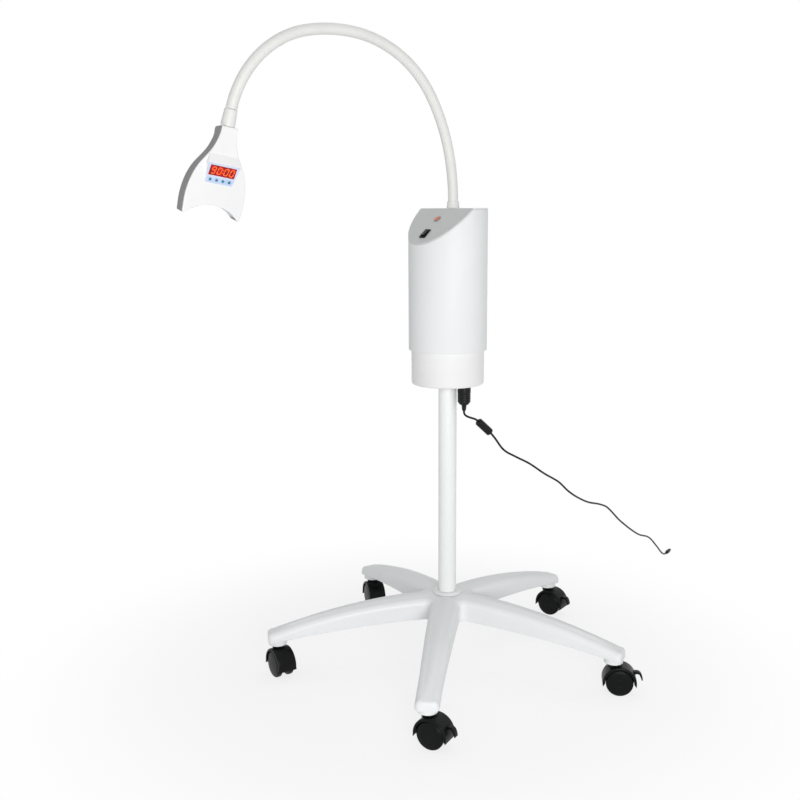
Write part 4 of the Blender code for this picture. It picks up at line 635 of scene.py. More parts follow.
def make_box():
    """The shell, its two upper plates, and the cup: a turned wall with a floor and a narrower spigot."""
    shell = skin("box_housing", [moved(box_shell(), stand_place())], COAT_WHITE, "stand")
    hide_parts("box_shell")
    rise = PLATE_THICK / math.cos(math.radians(PANEL_SLOPE))
    slanted = skin("slanted_panel", [moved(plate(True, rise), stand_place())], PANEL_GREY, "stand")
    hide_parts("control_panel")
    flat = skin("flat_top", [moved(plate(False, PLATE_THICK), stand_place())], COAT_WHITE, "stand")
    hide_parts("top_plate")
    low = BOX_BOTTOM - CAP_HEIGHT
    bore, spigot, wall = COLUMN_RADIUS + CLEARANCE, BOX_RADIUS - BOX_WALL - CLEARANCE, CAP_RADIUS - BOX_WALL
    high = BOX_BOTTOM + SPIGOT_HEIGHT
    profile = [(bore, low), (CAP_RADIUS, low), (CAP_RADIUS, BOX_BOTTOM - 0.0006),
               (spigot, BOX_BOTTOM - 0.0004), (spigot, high), (wall, high), (wall, low + CAP_FLOOR),
               (bore, low + CAP_FLOOR)]
    size = np.array((0.0003, CAP_ROUND, 0.0004, 0.0002, 0.0004, 0.0004, 0.002, 0.0003))
    cup = skin("bottom_cup", [moved(turned(softened(profile, size, 7, closed=True), 128), stand_place())],
               PLASTIC_WHITE, "stand")
    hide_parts("bottom_cap")


def repaint(node, material):
    """Gives a node that stays as it is a better material."""
    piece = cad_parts[node]
    if piece.material_slots:
        piece.material_slots[0].material = material
    else:
        piece.data.materials.append(material)


make_box()
repaint("column_clamp", CLAMP_STEEL)
repaint("power_board", BOARD_GREEN)


# Switch and pilot lamp on the slanted panel: a snap-in rocker switch of black nylon, its rocker on a
# pivot, and an amber lens with a thin bezel, pushed through a round hole.
ROCKER_WIDTH, ROCKER_LENGTH, ROCKER_BEZEL, ROCKER_DOWN = 0.0130, 0.0190, 0.0012, 0.0675
BEZEL_HEIGHT, BEZEL_CORNER, ROCKER_WALL = 0.0018, 0.0015, 0.0012
ROCKER_RISE, ROCKER_AXIS_DEPTH, ROCKER_TILT, ROCKER_CROWN_SHARE = 0.0022, 0.0012, 8.0, 0.90
ROCKER_END_PLAY, ROCKER_SIDE_PLAY, SWITCH_DEPTH = 0.0006, 0.0003, 0.0155
LAMP_DOWN, LAMP_RADIUS, LAMP_BEZEL_RADIUS, LENS_RISE = 0.0285, 0.0060, 0.0072, 0.0035

SWITCH_BLACK = finish("switch_black", paint(12, 12, 13), paint(9, 9, 10), 0.38, 900.0, 0.06, 60.0,
                      specular=0.15)
ROCKER_BLACK = finish("rocker_black", paint(9, 9, 10), paint(6, 6, 7), 0.30, 900.0, 0.05, 60.0, specular=0.15)
BEZEL_METAL = finish("bezel_metal", paint(168, 160, 154), paint(140, 132, 126), 0.22, 500.0, 0.03, 90.0,
                     metallic=1.0)
LENS_AMBER = finish("amber_lens", paint(222, 128, 92), paint(196, 92, 58), 0.12, 300.0, 0.05, 260.0, coat=0.6)

panel_place = stand_place(0, -PANEL_EDGE, BOX_TOP) @ Matrix.Rotation(math.radians(PANEL_SLOPE), 4, "X")


def rounded_rectangle(width, length, corner, steps=5):
    """An anticlockwise outline with round corners about the origin."""
    corners = np.array(((1, -1), (1, 1), (-1, 1), (-1, -1))) * (width / 2, length / 2)
    return softened(corners, corner, steps, closed=True)[:-1]


def frame_ring(width, length, corner, room_width, room_length, low, high, edge):
    """A rectangular frame: rows go from the inner wall over the top, down the outer wall and back
    underneath, each an outline of its own size."""
    turn = np.linspace(0, math.pi / 2, 4)
    rows = [(room_width, room_length, low), (room_width, room_length, high - edge)]
    rows += [(room_width + 2 * edge * (1 - math.cos(a)), room_length + 2 * edge * (1 - math.cos(a)),
              high - edge * (1 - math.sin(a))) for a in turn[1:]]
    rows += [(width - 2 * edge * (1 - math.sin(a)), length - 2 * edge * (1 - math.sin(a)),
              high - edge * (1 - math.cos(a))) for a in turn]
    rows += [(width, length, low), (room_width, room_length, low)]
    grid = np.stack([np.column_stack([rounded_rectangle(w, l, min(corner, w / 3)), np.full(20, z)])
                     for w, l, z in rows])
    return np.concatenate([grid, grid[:, :1]], axis=1)


def make_switch():
    """A frame on a closed body, and a rocker: its side outline raised across its width."""
    place = panel_place @ Matrix.Translation((0, -ROCKER_DOWN, 0))
    room_width, room_length = ROCKER_WIDTH - ROCKER_WALL * 2, ROCKER_LENGTH - ROCKER_WALL * 2
    bezel = frame_ring(ROCKER_WIDTH + ROCKER_BEZEL * 2, ROCKER_LENGTH + ROCKER_BEZEL * 2, BEZEL_CORNER,
                       room_width, room_length, CLEARANCE, BEZEL_HEIGHT, 0.0005)
    body = slab(rounded_rectangle(ROCKER_WIDTH, ROCKER_LENGTH, 0.0006), -SWITCH_DEPTH,
                -ROCKER_AXIS_DEPTH * 3.2, 0.0004)
    housing = skin("switch_frame", [moved(bezel, place), moved(body, place)], SWITCH_BLACK, "stand")
    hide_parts("rocker_housing")
    half, wide = room_length / 2 - ROCKER_END_PLAY, room_width / 2 - ROCKER_SIDE_PLAY
    crown, deep = BEZEL_HEIGHT + ROCKER_RISE, -ROCKER_AXIS_DEPTH * 2.5
    drop = half * math.tan(math.radians(ROCKER_TILT))
    corners = [(-half * 0.96, deep * 0.5), (-half * 0.3, deep), (half * 0.3, deep), (half * 0.96, deep * 0.5),
               (half * ROCKER_CROWN_SHARE, crown - drop * 1.1), (0.0, crown - drop * 0.75),
               (-half * ROCKER_CROWN_SHARE, crown)]
    size = np.array((0.0004, 0.001, 0.001, 0.0004, 0.0006, 0.004, 0.0006))
    side = softened(corners, size, 6, closed=True)[:-1]
    turn_up = Matrix(((0, 0, 1, 0), (1, 0, 0, 0), (0, 1, 0, 0), (0, 0, 0, 1)))
    rocker = skin("switch_rocker", [moved(slab(side, -wide, wide, 0.0004, (0, 0)), place @ turn_up)],
                  ROCKER_BLACK, "rocker")
    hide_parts("rocker")


def make_pilot_lamp():
    """A turned bezel, and a lens whose dome is a quarter ellipse."""
    place = panel_place @ Matrix.Translation((0, -LAMP_DOWN, 0))
    lens_radius = LAMP_RADIUS * 0.90
    bezel = [(lens_radius, CLEARANCE), (LAMP_BEZEL_RADIUS, CLEARANCE), (LAMP_BEZEL_RADIUS, LENS_RISE * 0.22),
             (LAMP_BEZEL_RADIUS * 0.93, LENS_RISE * 0.36), (lens_radius, LENS_RISE * 0.36)]
    ring = skin("lamp_bezel", [moved(turned(softened(bezel, 0.0002, 4, closed=True), 64), place)],
                BEZEL_METAL, "stand")
    dome = np.linspace(0, math.pi / 2, 12)[1:-1]
    lens = [(lens_radius * math.cos(a), LENS_RISE * (0.30 + 0.70 * math.sin(a))) for a in dome]
    profile = [(0, -0.020), (lens_radius, -0.020), (lens_radius, LENS_RISE * 0.30), *lens, (0, LENS_RISE)]
    lamp = skin("pilot_lens", [moved(turned(softened(profile, 0.0003, 4), 64), place)], LENS_AMBER, "stand")
    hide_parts("pilot_lamp")


make_switch()
make_pilot_lamp()


# Neck: a steel gooseneck in a smooth white sleeve, screwed into a two-step collar on the box. It bends
# anywhere; here each stretch of sleeve runs from the middle of one piece to the middle of the next.
NECK_RADIUS, NECK_PIECE, NECK_SETBACK = 0.0093, 0.0962, 0.0123
NECK_BENDS = np.array((15.2, 18.4, 27.6, 22.8, 17.2, 32.9, 36.3))
NECK_LEANS = np.array((0.0, 0.0, 0.0, 0.0, 4.3, 4.3, 4.4))
PIECE_STEPS = 6
COLLAR_RADIUS, COLLAR_HEIGHT, COLLAR_STEP, COLLAR_GROOVE = 0.0115, 0.012, 0.005, 0.0009
SLEEVE_RADIUS = NECK_RADIUS - 0.00005

SLEEVE_WHITE = finish("sleeve_white", paint(233, 233, 231), paint(229, 229, 226), 0.42, 180.0, 0.02, 18.0,
                      specular=0.30)


def neck_nodes():
    """Places and directions along the neck: every step leads by the bend and lean reached halfway
    through it, and the places are the running sum of the steps."""
    bend = np.concatenate([[0], np.cumsum(np.repeat(NECK_BENDS / PIECE_STEPS, PIECE_STEPS))])
    lean = np.concatenate([[0], np.cumsum(np.repeat(NECK_LEANS / PIECE_STEPS, PIECE_STEPS))])

    def direction(bend, lean):
        """Unit steps: the bend turns them from upright in the neck's plane, the lean out of it."""
        bend, lean = np.radians(bend), np.radians(lean)
        return np.stack([-np.sin(lean), -np.sin(bend) * np.cos(lean), np.cos(bend) * np.cos(lean)], axis=1)

    steps = direction((bend[1:] + bend[:-1]) / 2, (lean[1:] + lean[:-1]) / 2) * NECK_PIECE / PIECE_STEPS
    start = AXIS + (0, NECK_SETBACK, BOX_TOP + COLLAR_HEIGHT)
    return start + np.vstack([np.zeros(3), np.cumsum(steps, axis=0)]), direction(bend, lean)


def smooth_route(knots, step):
    """Points at even steps on a curve through the knots: cubic pieces whose slope at each knot is the
    mean of its neighbours."""
    knots = np.array(knots)
    padded = np.vstack([2 * knots[0] - knots[1], knots, 2 * knots[-1] - knots[-2]])
    before, start, end, after = padded[:-3], padded[1:-2], padded[2:-1], padded[3:]
    span = np.linalg.norm(end - start, axis=1, keepdims=True)
    leave = (end - before) / (np.linalg.norm(start - before, axis=1, keepdims=True) + span) * span
    arrive = (after - start) / (np.linalg.norm(after - end, axis=1, keepdims=True) + span) * span
    t = np.linspace(0, 1, 12, endpoint=False)[None, :, None]
    fine = ((2 * t ** 3 - 3 * t ** 2 + 1) * start[:, None] + (t ** 3 - 2 * t ** 2 + t) * leave[:, None]
            + (3 * t ** 2 - 2 * t ** 3) * end[:, None] + (t ** 3 - t ** 2) * arrive[:, None])
    fine = np.vstack([fine.reshape(-1, 3), knots[-1]])
    run = np.concatenate([[0], np.cumsum(np.linalg.norm(np.diff(fine, axis=0), axis=1))])
    places = np.linspace(0, run[-1], max(2, round(run[-1] / step)) + 1)
    return np.stack([np.interp(places, run, fine[:, axis]) for axis in range(3)], axis=1)


def pipe(points, radius, sides=40):
    """A round section carried along a line of points, square to it, and closed by a fan at each end."""
    along = np.gradient(points, axis=0)
    along /= np.linalg.norm(along, axis=1, keepdims=True)
    side = np.array((1.0, 0.0, 0.0)) - along * along[:, :1]
    side /= np.linalg.norm(side, axis=1, keepdims=True)
    other = np.cross(along, side)
    angle = np.linspace(0, math.tau, sides + 1)
    rows = points[:, None] + radius * (side[:, None] * np.cos(angle)[None, :, None]
                                       + other[:, None] * np.sin(angle)[None, :, None])
    ends = [np.repeat(points[i:i + 1, None], sides + 1, axis=1) for i in (0, len(points) - 1)]
    return np.concatenate([ends[0], rows, ends[1]])


neck_places, neck_ways = neck_nodes()


def make_neck():
    """A turned collar, and the sleeve in stretches that meet at seams; the last stretch goes with the last
    piece.
    """
    foot = stand_place(0, NECK_SETBACK, BOX_TOP)
    bore, groove, upper = NECK_RADIUS + 0.0002, COLLAR_RADIUS - COLLAR_GROOVE, COLLAR_RADIUS - 0.0004
    profile = [(bore, CLEARANCE), (COLLAR_RADIUS, CLEARANCE), (COLLAR_RADIUS, COLLAR_STEP),
               (groove, COLLAR_STEP + COLLAR_GROOVE), (groove, COLLAR_STEP + COLLAR_GROOVE * 2),
               (upper, COLLAR_STEP + COLLAR_GROOVE * 3), (upper, COLLAR_HEIGHT), (bore, COLLAR_HEIGHT)]
    collar = skin("neck_foot_collar", [moved(turned(softened(profile, 0.0005, 4, closed=True), 72), foot)],
                  SLEEVE_WHITE, "stand")
    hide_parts("neck_collar")
    line = smooth_route(neck_places, NECK_PIECE / 36)
    run = np.concatenate([[0], np.cumsum(np.linalg.norm(np.diff(line, axis=0), axis=1))])
    run *= len(NECK_BENDS) / run[-1]
    bodies = ["stand"] + [f"neck_{k}" for k in range(2, len(NECK_BENDS) + 1)]
    # the run is counted in pieces: stretches end in the middle of a piece, the first and last at the ends
    bounds = [0.0] + [k - 0.5 for k in range(2, len(NECK_BENDS) + 1)] + [float(len(NECK_BENDS))]
    for k in range(len(NECK_BENDS)):
        inside = line[(run > bounds[k] + 0.005) & (run < bounds[k + 1] - 0.005)]
        ends = [np.array([[np.interp(at, run, line[:, axis]) for axis in range(3)]])
                for at in bounds[k:k + 2]]
        if k == 0:
            ends[0] = ends[0] - (0, 0, COLLAR_HEIGHT * 0.9)
        sleeve = pipe(np.vstack([ends[0], inside, ends[1]]), SLEEVE_RADIUS)
        stretch = skin(f"neck_sleeve_{k + 1}", [sleeve], SLEEVE_WHITE)
        if k < len(NECK_BENDS) - 1:
            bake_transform(stretch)
        else:
            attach(stretch, bodies[k])
        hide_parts(f"neck_{k + 1}")


make_neck()


# Head: a grey rear shell and a white cover, both moulded, screwed together from behind and turned on a
# cone-shaped ferrule at the neck's end; the mouth is an arc that follows the face.
FERRULE_LENGTH, FERRULE_TOP_RADIUS, FERRULE_RADIUS = 0.028, 0.0104, 0.0117
FERRULE_PIN_RADIUS, FERRULE_PIN_LENGTH = 0.0070, 0.012
HEAD_LENGTH, HEAD_HALF_WIDTH, HEAD_FACE, HEAD_BACK = 0.1470, 0.0527, 0.0120, 0.0140
HEAD_ROUND, HEAD_CORNER, COVER_THICK, COVER_EDGE = 0.0050, 0.0045, 0.0030, 0.0014
MOUTH_HALF_WIDTH, MOUTH_DEPTH, SEAM_GROOVE = 0.0506, 0.0215, 0.0006
# The shell is thinner at the waist by this share of its depth, and its back starts lower than its front
WAIST_THIN, TOP_SLANT = 0.34, 0.0065
OUTLINE_SHARES = np.array(((0.00, 0.270), (0.08, 0.278), (0.17, 0.335), (0.26, 0.437), (0.35, 0.592),
                           (0.45, 0.767), (0.55, 0.883), (0.65, 0.957), (0.75, 0.994), (0.84, 1.000),
                           (0.92, 0.984)))
FAN_CENTRE = (0.0, -0.090)

SHELL_GREY = finish("shell_grey", paint(148, 148, 149), paint(142, 142, 143), 0.50, 900.0, 0.10, 20.0,
                    specular=0.25)
COVER_WHITE = finish("cover_white", paint(243, 243, 244), paint(240, 240, 241), 0.34, 500.0, 0.03, 14.0,
                     specular=0.30)


def head_frame():
    """The head's place: its Y axis back up the neck's last direction, its face square to that, as near
    to the way the stand's X axis looks as it can."""
    down = Vector(neck_ways[-1]).normalized()
    face = Vector((1, 0, 0))
    face = (face - down * face.dot(down)).normalized()
    across = face.cross(down).normalized()
    turn = Matrix((across, -down, face)).transposed().to_4x4()
    return Matrix.Translation(Vector(neck_places[-1]) + down * FERRULE_LENGTH) @ turn


head_place = head_frame()
mouth_radius = (MOUTH_HALF_WIDTH ** 2 + MOUTH_DEPTH ** 2) / (2 * MOUTH_DEPTH)
mouth_centre = -HEAD_LENGTH + MOUTH_DEPTH - mouth_radius


def head_outline():
    """The fan's outline, anticlockwise: a smooth side from the neck end, a rounded corner, the mouth's
    arc, and the other side as the first one's mirror image."""
    knots = np.column_stack([-HEAD_HALF_WIDTH * OUTLINE_SHARES[:, 1], -HEAD_LENGTH * OUTLINE_SHARES[:, 0],
                             np.zeros(len(OUTLINE_SHARES))])
    side = smooth_route(knots, 0.0022)[:, :2]
    spread = math.asin((MOUTH_HALF_WIDTH - HEAD_CORNER * 1.3) / mouth_radius)
    angle = np.linspace(-spread, spread, 61)
    mouth = np.stack([mouth_radius * np.sin(angle), mouth_centre + mouth_radius * np.cos(angle)], axis=1)
    start = np.array((-HEAD_HALF_WIDTH * 0.972, -HEAD_LENGTH + HEAD_CORNER * 1.1))
    corner = np.array((-MOUTH_HALF_WIDTH, -HEAD_LENGTH))
    t = np.linspace(0, 1, 11)[:-1, None]
    turn = (1 - t) ** 2 * start + 2 * t * (1 - t) * corner + t ** 2 * mouth[0]
    left = np.vstack([side, turn])
    right = left[::-1] * (-1.0, 1.0)
    return np.vstack([left, mouth, right])


def drawn_in(outline, amount, centre):
    """An anticlockwise outline drawn in towards a centre, each point along its own line to it: by the
    amount over the cosine between that line and the inward normal, at most twice the amount."""
    along = np.roll(outline, -1, axis=0) - np.roll(outline, 1, axis=0)
    normal = np.stack([-along[:, 1], along[:, 0]], axis=1)
    normal /= np.linalg.norm(normal, axis=1, keepdims=True)
    ray = np.array(centre) - outline
    ray /= np.linalg.norm(ray, axis=1, keepdims=True)
    return outline + ray * (amount / np.maximum(0.5, (ray * normal).sum(axis=1)))[:, None]


def layered(outline, layers, centre):
    """A closed skin over copies of one outline, each drawn in by its own amount at its own height, and
    closed at both ends by a fan in three steps about the centre."""
    rows = [np.column_stack([drawn_in(outline, amount, centre), np.full(len(outline), height)])
            for amount, height in layers]
    first, last = [], []
    for share in (0.0, 0.4, 0.8):
        first.append(np.array((*centre, layers[0][1])) * (1 - share) + rows[0] * share)
        last.insert(0, np.array((*centre, layers[-1][1])) * (1 - share) + rows[-1] * share)
    grid = np.stack([*first, *rows, *last])
    return np.concatenate([grid, grid[:, :1]], axis=1)


def rim_round(radius, height, up, steps=6):
    """A quarter round from the side wall to a flat face, as (inset, height) pairs."""
    turn = np.linspace(0, math.pi / 2, steps)
    return [(radius * (1 - math.cos(a)), height - up * radius * (1 - math.sin(a))) for a in turn]


def make_head():
    """The ferrule, the rear shell and the cover. The shell's back is drawn in at the waist by a bell
    curve, and starts lower than its front by a straight slope."""
    top = FERRULE_LENGTH - 0.0005
    profile = [(0, -FERRULE_PIN_LENGTH), (FERRULE_PIN_RADIUS, -FERRULE_PIN_LENGTH),
               (FERRULE_PIN_RADIUS, CLEARANCE), (FERRULE_RADIUS, CLEARANCE),
               (FERRULE_RADIUS, FERRULE_LENGTH * 0.12), (FERRULE_TOP_RADIUS, FERRULE_LENGTH * 0.93),
               (FERRULE_TOP_RADIUS - 0.0007, top), (0, top)]
    ferrule = turned(softened(profile, 0.0006), 72)
    cone = skin("neck_ferrule", [moved(ferrule, head_place @ Matrix.Rotation(-math.pi / 2, 4, "X"))],
                SLEEVE_WHITE, "head")
    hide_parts("ferrule")
    outline = head_outline()
    rim = HEAD_FACE - COVER_THICK
    back = rim_round(HEAD_ROUND, -HEAD_BACK, -1.0)[::-1]
    layers = [(HEAD_ROUND * 1.4, -HEAD_BACK), *back, (0, rim - 0.0009), (SEAM_GROOVE, rim - 0.0006),
              (SEAM_GROOVE, rim - 0.0001)]
    grid = layered(outline, layers, FAN_CENTRE)
    deep = np.clip(-grid[..., 2] / HEAD_BACK, 0, 1)
    grid[..., 2] += deep * HEAD_BACK * WAIST_THIN * np.exp(-((grid[..., 1] + 0.046) / 0.024) ** 2)
    grid[..., 1] -= deep * TOP_SLANT * np.clip(1 + grid[..., 1] / 0.030, 0, 1)
    shell = skin("head_back_shell", [moved(grid, head_place)], SHELL_GREY, "head")
    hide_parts("rear_shell")
    front = rim_round(COVER_EDGE, HEAD_FACE, 1.0)
    layers = [(0.0007, rim), (0.0001, rim + 0.0003), *front, (COVER_EDGE * 1.8, HEAD_FACE)]
    grids = [moved(layered(outline, layers, FAN_CENTRE), head_place), moved(hump(), head_place)]
    cover = skin("head_front_cover", grids, COVER_WHITE, "head")
    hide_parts("front_cover")


# The cover's hump: a wedge that rises over the display's upper edge and falls along the display
HUMP_TOP, HUMP_CREST, HUMP_END, HUMP_RISE = 0.0440, 0.0580, 0.0912, 0.0078
HUMP_TOP_HALF, HUMP_CREST_HALF, HUMP_END_HALF = 0.0265, 0.0290, 0.0240
LABEL_THICK = 0.0010


def hump():
    """Sections across the wedge, each a flat top with rounded shoulders between upright sides; its
    height and half width go straight from top to crest to end, with the crest slightly rounded."""
    sink = (LABEL_THICK + 0.0002) / math.cos(math.atan(HUMP_RISE / (HUMP_END - HUMP_CREST)))
    knots = [(-HUMP_TOP, HEAD_FACE - 0.0006, HUMP_TOP_HALF),
             (-HUMP_CREST, HEAD_FACE + HUMP_RISE, HUMP_CREST_HALF),
             (-HUMP_CREST - 0.0012, HEAD_FACE + HUMP_RISE - sink, HUMP_CREST_HALF),
             (-HUMP_END, HEAD_FACE - sink, HUMP_END_HALF)]
    y, top, half = softened(knots, np.array((0, 0.0008, 0.0006, 0)), 6).T
    low, edge = HEAD_FACE - COVER_THICK / 2, 0.0008
    turn = np.linspace(0, math.pi / 2, 5)
    side = np.concatenate([[0.0], edge * (1 - np.cos(turn))])
    drop = np.concatenate([[1.0], edge * (1 - np.sin(turn))])
    across = np.concatenate([-(half[:, None] - side), (half[:, None] - side)[:, ::-1]], axis=1)
    height = np.maximum(low, np.concatenate([top[:, None] - drop, (top[:, None] - drop)[:, ::-1]], axis=1))
    rows = np.stack([across, np.repeat(y[:, None], across.shape[1], axis=1), height], axis=-1)
    rows = np.concatenate([rows, rows[:, :1]], axis=1)
    ends = [np.tile(rows[i].mean(axis=0), (rows.shape[1], 1))[None] for i in (0, -1)]
    return np.concatenate([ends[0], rows, ends[1]])


make_head()


# Display: a printed overlay on the hump with a red window over a four-digit numeral display, and four
# rubber keys that stand through it.
WINDOW_WIDTH, WINDOW_HEIGHT, WINDOW_DOWN = 0.0465, 0.0170, 0.0036
KEY_RADIUS, KEY_RISE, KEY_PITCH, KEY_DOWN, KEY_FOOT = 0.0024, 0.0007, 0.0114, 0.0243, -0.0030
BAND_TOP_HALF, BAND_FOOT_HALF, BAND_HALF_HEIGHT = 0.0228, 0.0220, 0.0038
BAND_SINK, BAND_PROUD = 0.0002, 0.00008
KEY_PLANE = (0.0615, 0.0300)
DIGIT_WIDTH, DIGIT_HEIGHT, DIGIT_SLANT, SEGMENT = 0.0078, 0.0124, 0.16, 0.0017
DIGIT_PLACES = (-0.0160, -0.0056, 0.0064, 0.0168)
DIGITS = ("9", "0", "0", "0")
SEGMENTS_LIT = {"0": "abcdef", "9": "abcdfg"}
# Segments in units of half a digit's width and height: start and end of each bar
SEGMENT_ENDS = {"a": ((-1, 1), (1, 1)), "b": ((1, 1), (1, 0)), "c": ((1, 0), (1, -1)),
                "d": ((-1, -1), (1, -1)), "e": ((-1, 0), (-1, -1)), "f": ((-1, 1), (-1, 0)),
                "g": ((-1, 0), (1, 0))}

LABEL_BLUE = finish("overlay_pale_blue", paint(214, 222, 242), paint(206, 216, 240), 0.32, 900.0, 0.03, 50.0,
                    specular=0.35)
BAND_BLUE = finish("overlay_band_blue", paint(196, 216, 242), paint(182, 208, 240), 0.32, 900.0, 0.03, 50.0,
                   specular=0.35)
# The window's faint glow is painted light: it stands in for the lit numerals' light spreading through the red
# glass.
WINDOW_RED = finish("window_red", paint(178, 20, 20), paint(120, 8, 12), 0.14, 600.0, 0.01, 160.0,
                    specular=0.3,
                    glow=0.20)
DIGIT_RED = finish("digit_orange", paint(255, 104, 50), paint(252, 88, 38), 0.30, 600.0, 0.02, 90.0,
                   specular=0.2, glow=0.60)
KEY_TEAL = finish("key_teal", paint(62, 128, 156), paint(50, 112, 142), 0.42, 900.0, 0.06, 80.0)

hump_run = HUMP_END - HUMP_CREST
hump_length = math.hypot(HUMP_RISE, hump_run)
display_place = (head_place @ Matrix.Translation((0, -HUMP_CREST, HEAD_FACE + HUMP_RISE))
                 @ Matrix.Rotation(math.atan(HUMP_RISE / hump_run), 4, "X"))
# The keys move square to a plane of their own, a hair above the overlay
key_place = (head_place @ Matrix.Translation((0, -KEY_PLANE[0], HEAD_FACE + HUMP_RISE))
             @ Matrix.Rotation(math.atan(HUMP_RISE / KEY_PLANE[1]), 4, "X"))


def bar(start, end, thick):
    """A six-sided bar between two points, pointed at both ends, anticlockwise."""
    start, end = np.array(start), np.array(end)
    along = (end - start) / np.linalg.norm(end - start)
    across = np.array((-along[1], along[0])) * thick / 2
    tip = along * thick * 0.55
    first, last = start + tip, end - tip
    return np.array((start + along * thick * 0.1, first - across, last - across, end - along * thick * 0.1,
                     last + across, first + across))


def make_display():
    """The overlay, its key band, the window, the numerals as bars on the glass, and the keys."""
    top, foot, low = HUMP_CREST_HALF - CLEARANCE, HUMP_END_HALF - CLEARANCE, -hump_length + CLEARANCE
    corners = np.array(((-top, -CLEARANCE), (-foot, low), (foot, low), (top, -CLEARANCE)))
    outline = softened(corners, 0.0012, 6, closed=True)[:-1]
    label = skin("display_overlay", [moved(slab(outline, -LABEL_THICK, 0.0, 0.0002), display_place)],
                 LABEL_BLUE, "head")
    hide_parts("display_panel")
    band_middle = -hump_length + 0.0062
    band_top, band_foot = band_middle + BAND_HALF_HEIGHT, band_middle - BAND_HALF_HEIGHT
    band_corners = np.array(((-BAND_TOP_HALF, band_top), (-BAND_FOOT_HALF, band_foot),
                             (BAND_FOOT_HALF, band_foot), (BAND_TOP_HALF, band_top)))
    band_outline = softened(band_corners, 0.0010, 5, closed=True)[:-1]
    band = skin("key_band", [moved(slab(band_outline, -BAND_SINK, BAND_PROUD, 0.00004), display_place)],
                BAND_BLUE, "head")
    glass_place = display_place @ Matrix.Translation((0, -WINDOW_DOWN - WINDOW_HEIGHT / 2, 0))
    glass = slab(rounded_rectangle(WINDOW_WIDTH, WINDOW_HEIGHT, 0.0010), -0.0026, 0.00015, 0.0001)
    window = skin("display_window", [moved(glass, glass_place)], WINDOW_RED, "head")
    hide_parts("display_module")
    half = np.array((DIGIT_WIDTH / 2 - SEGMENT / 2, DIGIT_HEIGHT / 2 - SEGMENT / 2))
    grids = []
    for digit, x in zip(DIGITS, DIGIT_PLACES):
        for letter in SEGMENTS_LIT[digit]:
            start, end = (np.array(corner) * half for corner in SEGMENT_ENDS[letter])
            shape = bar(start, end, SEGMENT)
            shape[:, 0] += shape[:, 1] * DIGIT_SLANT + x
            grids.append(moved(slab(shape, 0.00015, 0.00026, 0.00004, steps=2), glass_place))
    for y in (-0.0022, 0.0022):
        dot = arc(SEGMENT * 0.55, 0, 360, 16)[:-1] + (y * DIGIT_SLANT + 0.0005, y)
        grids.append(moved(slab(dot, 0.00015, 0.00026, 0.00004, steps=2), glass_place))
    numerals = skin("display_numerals", grids, DIGIT_RED, "head")
    profile = softened([(0, KEY_FOOT), (KEY_RADIUS, KEY_FOOT), (KEY_RADIUS, KEY_RISE * 0.75),
                        (KEY_RADIUS * 0.6, KEY_RISE), (0, KEY_RISE)], 0.0004, 5)
    for k in range(4):
        place = key_place @ Matrix.Translation(((k - 1.5) * KEY_PITCH, -KEY_DOWN, 0))
        key = skin(f"menu_key_{k + 1}", [moved(turned(profile, 36), place)], KEY_TEAL, f"key_{k + 1}")
        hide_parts(f"key_{k + 1}")


make_display()


# Light end: a clear strip let into the mouth's wall, with two rows of small diodes behind it; their board
# and its heat sink sit inside the head.
STRIP_LOW, STRIP_HIGH, STRIP_SPREAD, STRIP_PROUD = -0.0080, 0.0055, 36.0, 0.0002
DIODE_RADIUS, DIODE_COLUMNS, DIODE_ROWS = 0.0016, 15, (-0.0047, 0.0022)

STRIP_GREY = finish("light_strip", paint(234, 236, 239), paint(226, 229, 233), 0.20, 500.0, 0.02, 60.0,
                    coat=0.3)
DIODE_PALE = finish("diode_pale", paint(212, 217, 226), paint(200, 207, 219), 0.12, 300.0, 0.02, 200.0,
                   coat=0.5)
SINK_ALUMINIUM = finish("sink_aluminium", paint(196, 197, 199), paint(180, 181, 183), 0.34, 700.0, 0.06, 60.0,
                        metallic=1.0)


def make_light_end():
    """The strip is a rounded rectangle rolled along the mouth's arc; the diodes are half balls on it."""
    turn = np.linspace(-STRIP_SPREAD, STRIP_SPREAD, 61)
    edge = 0.0006
    section = softened([(mouth_radius + 0.0020, STRIP_LOW), (mouth_radius - STRIP_PROUD, STRIP_LOW),
                        (mouth_radius - STRIP_PROUD, STRIP_HIGH), (mouth_radius + 0.0020, STRIP_HIGH)],
                       edge / 2, 4, closed=True)
    angle = np.radians(turn)[:, None]
    rows = np.stack([section[:, 0] * np.sin(angle), mouth_centre + section[:, 0] * np.cos(angle),
                     np.tile(section[:, 1], (len(turn), 1))], axis=-1)
    ends = [np.tile(rows[i].mean(axis=0), (rows.shape[1], 1))[None] for i in (0, -1)]
    strip = skin("mouth_light_strip", [moved(np.concatenate([ends[0], rows, ends[1]]), head_place)],
                 STRIP_GREY, "head")
    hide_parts("light_window")
    ball = turned([(DIODE_RADIUS * math.cos(a), DIODE_RADIUS * 0.25 * math.sin(a))
                   for a in np.linspace(0, math.pi / 2, 5)] + [(0, DIODE_RADIUS * 0.25)], 14)
    grids = []
    for height in DIODE_ROWS:
        for at in np.radians(np.linspace(-STRIP_SPREAD * 0.92, STRIP_SPREAD * 0.92, DIODE_COLUMNS)):
            place = (Matrix.Translation((0, mouth_centre, height)) @ Matrix.Rotation(-at, 4, "Z")
                     @ Matrix.Translation((0, mouth_radius - STRIP_PROUD, 0))
                     @ Matrix.Rotation(math.pi / 2, 4, "X"))
            grids.append(moved(ball, head_place @ place))
    diodes = skin("mouth_diodes", grids, DIODE_PALE, "head")


make_light_end()
repaint("led_board", BOARD_GREEN)
repaint("heat_sink", SINK_ALUMINIUM)


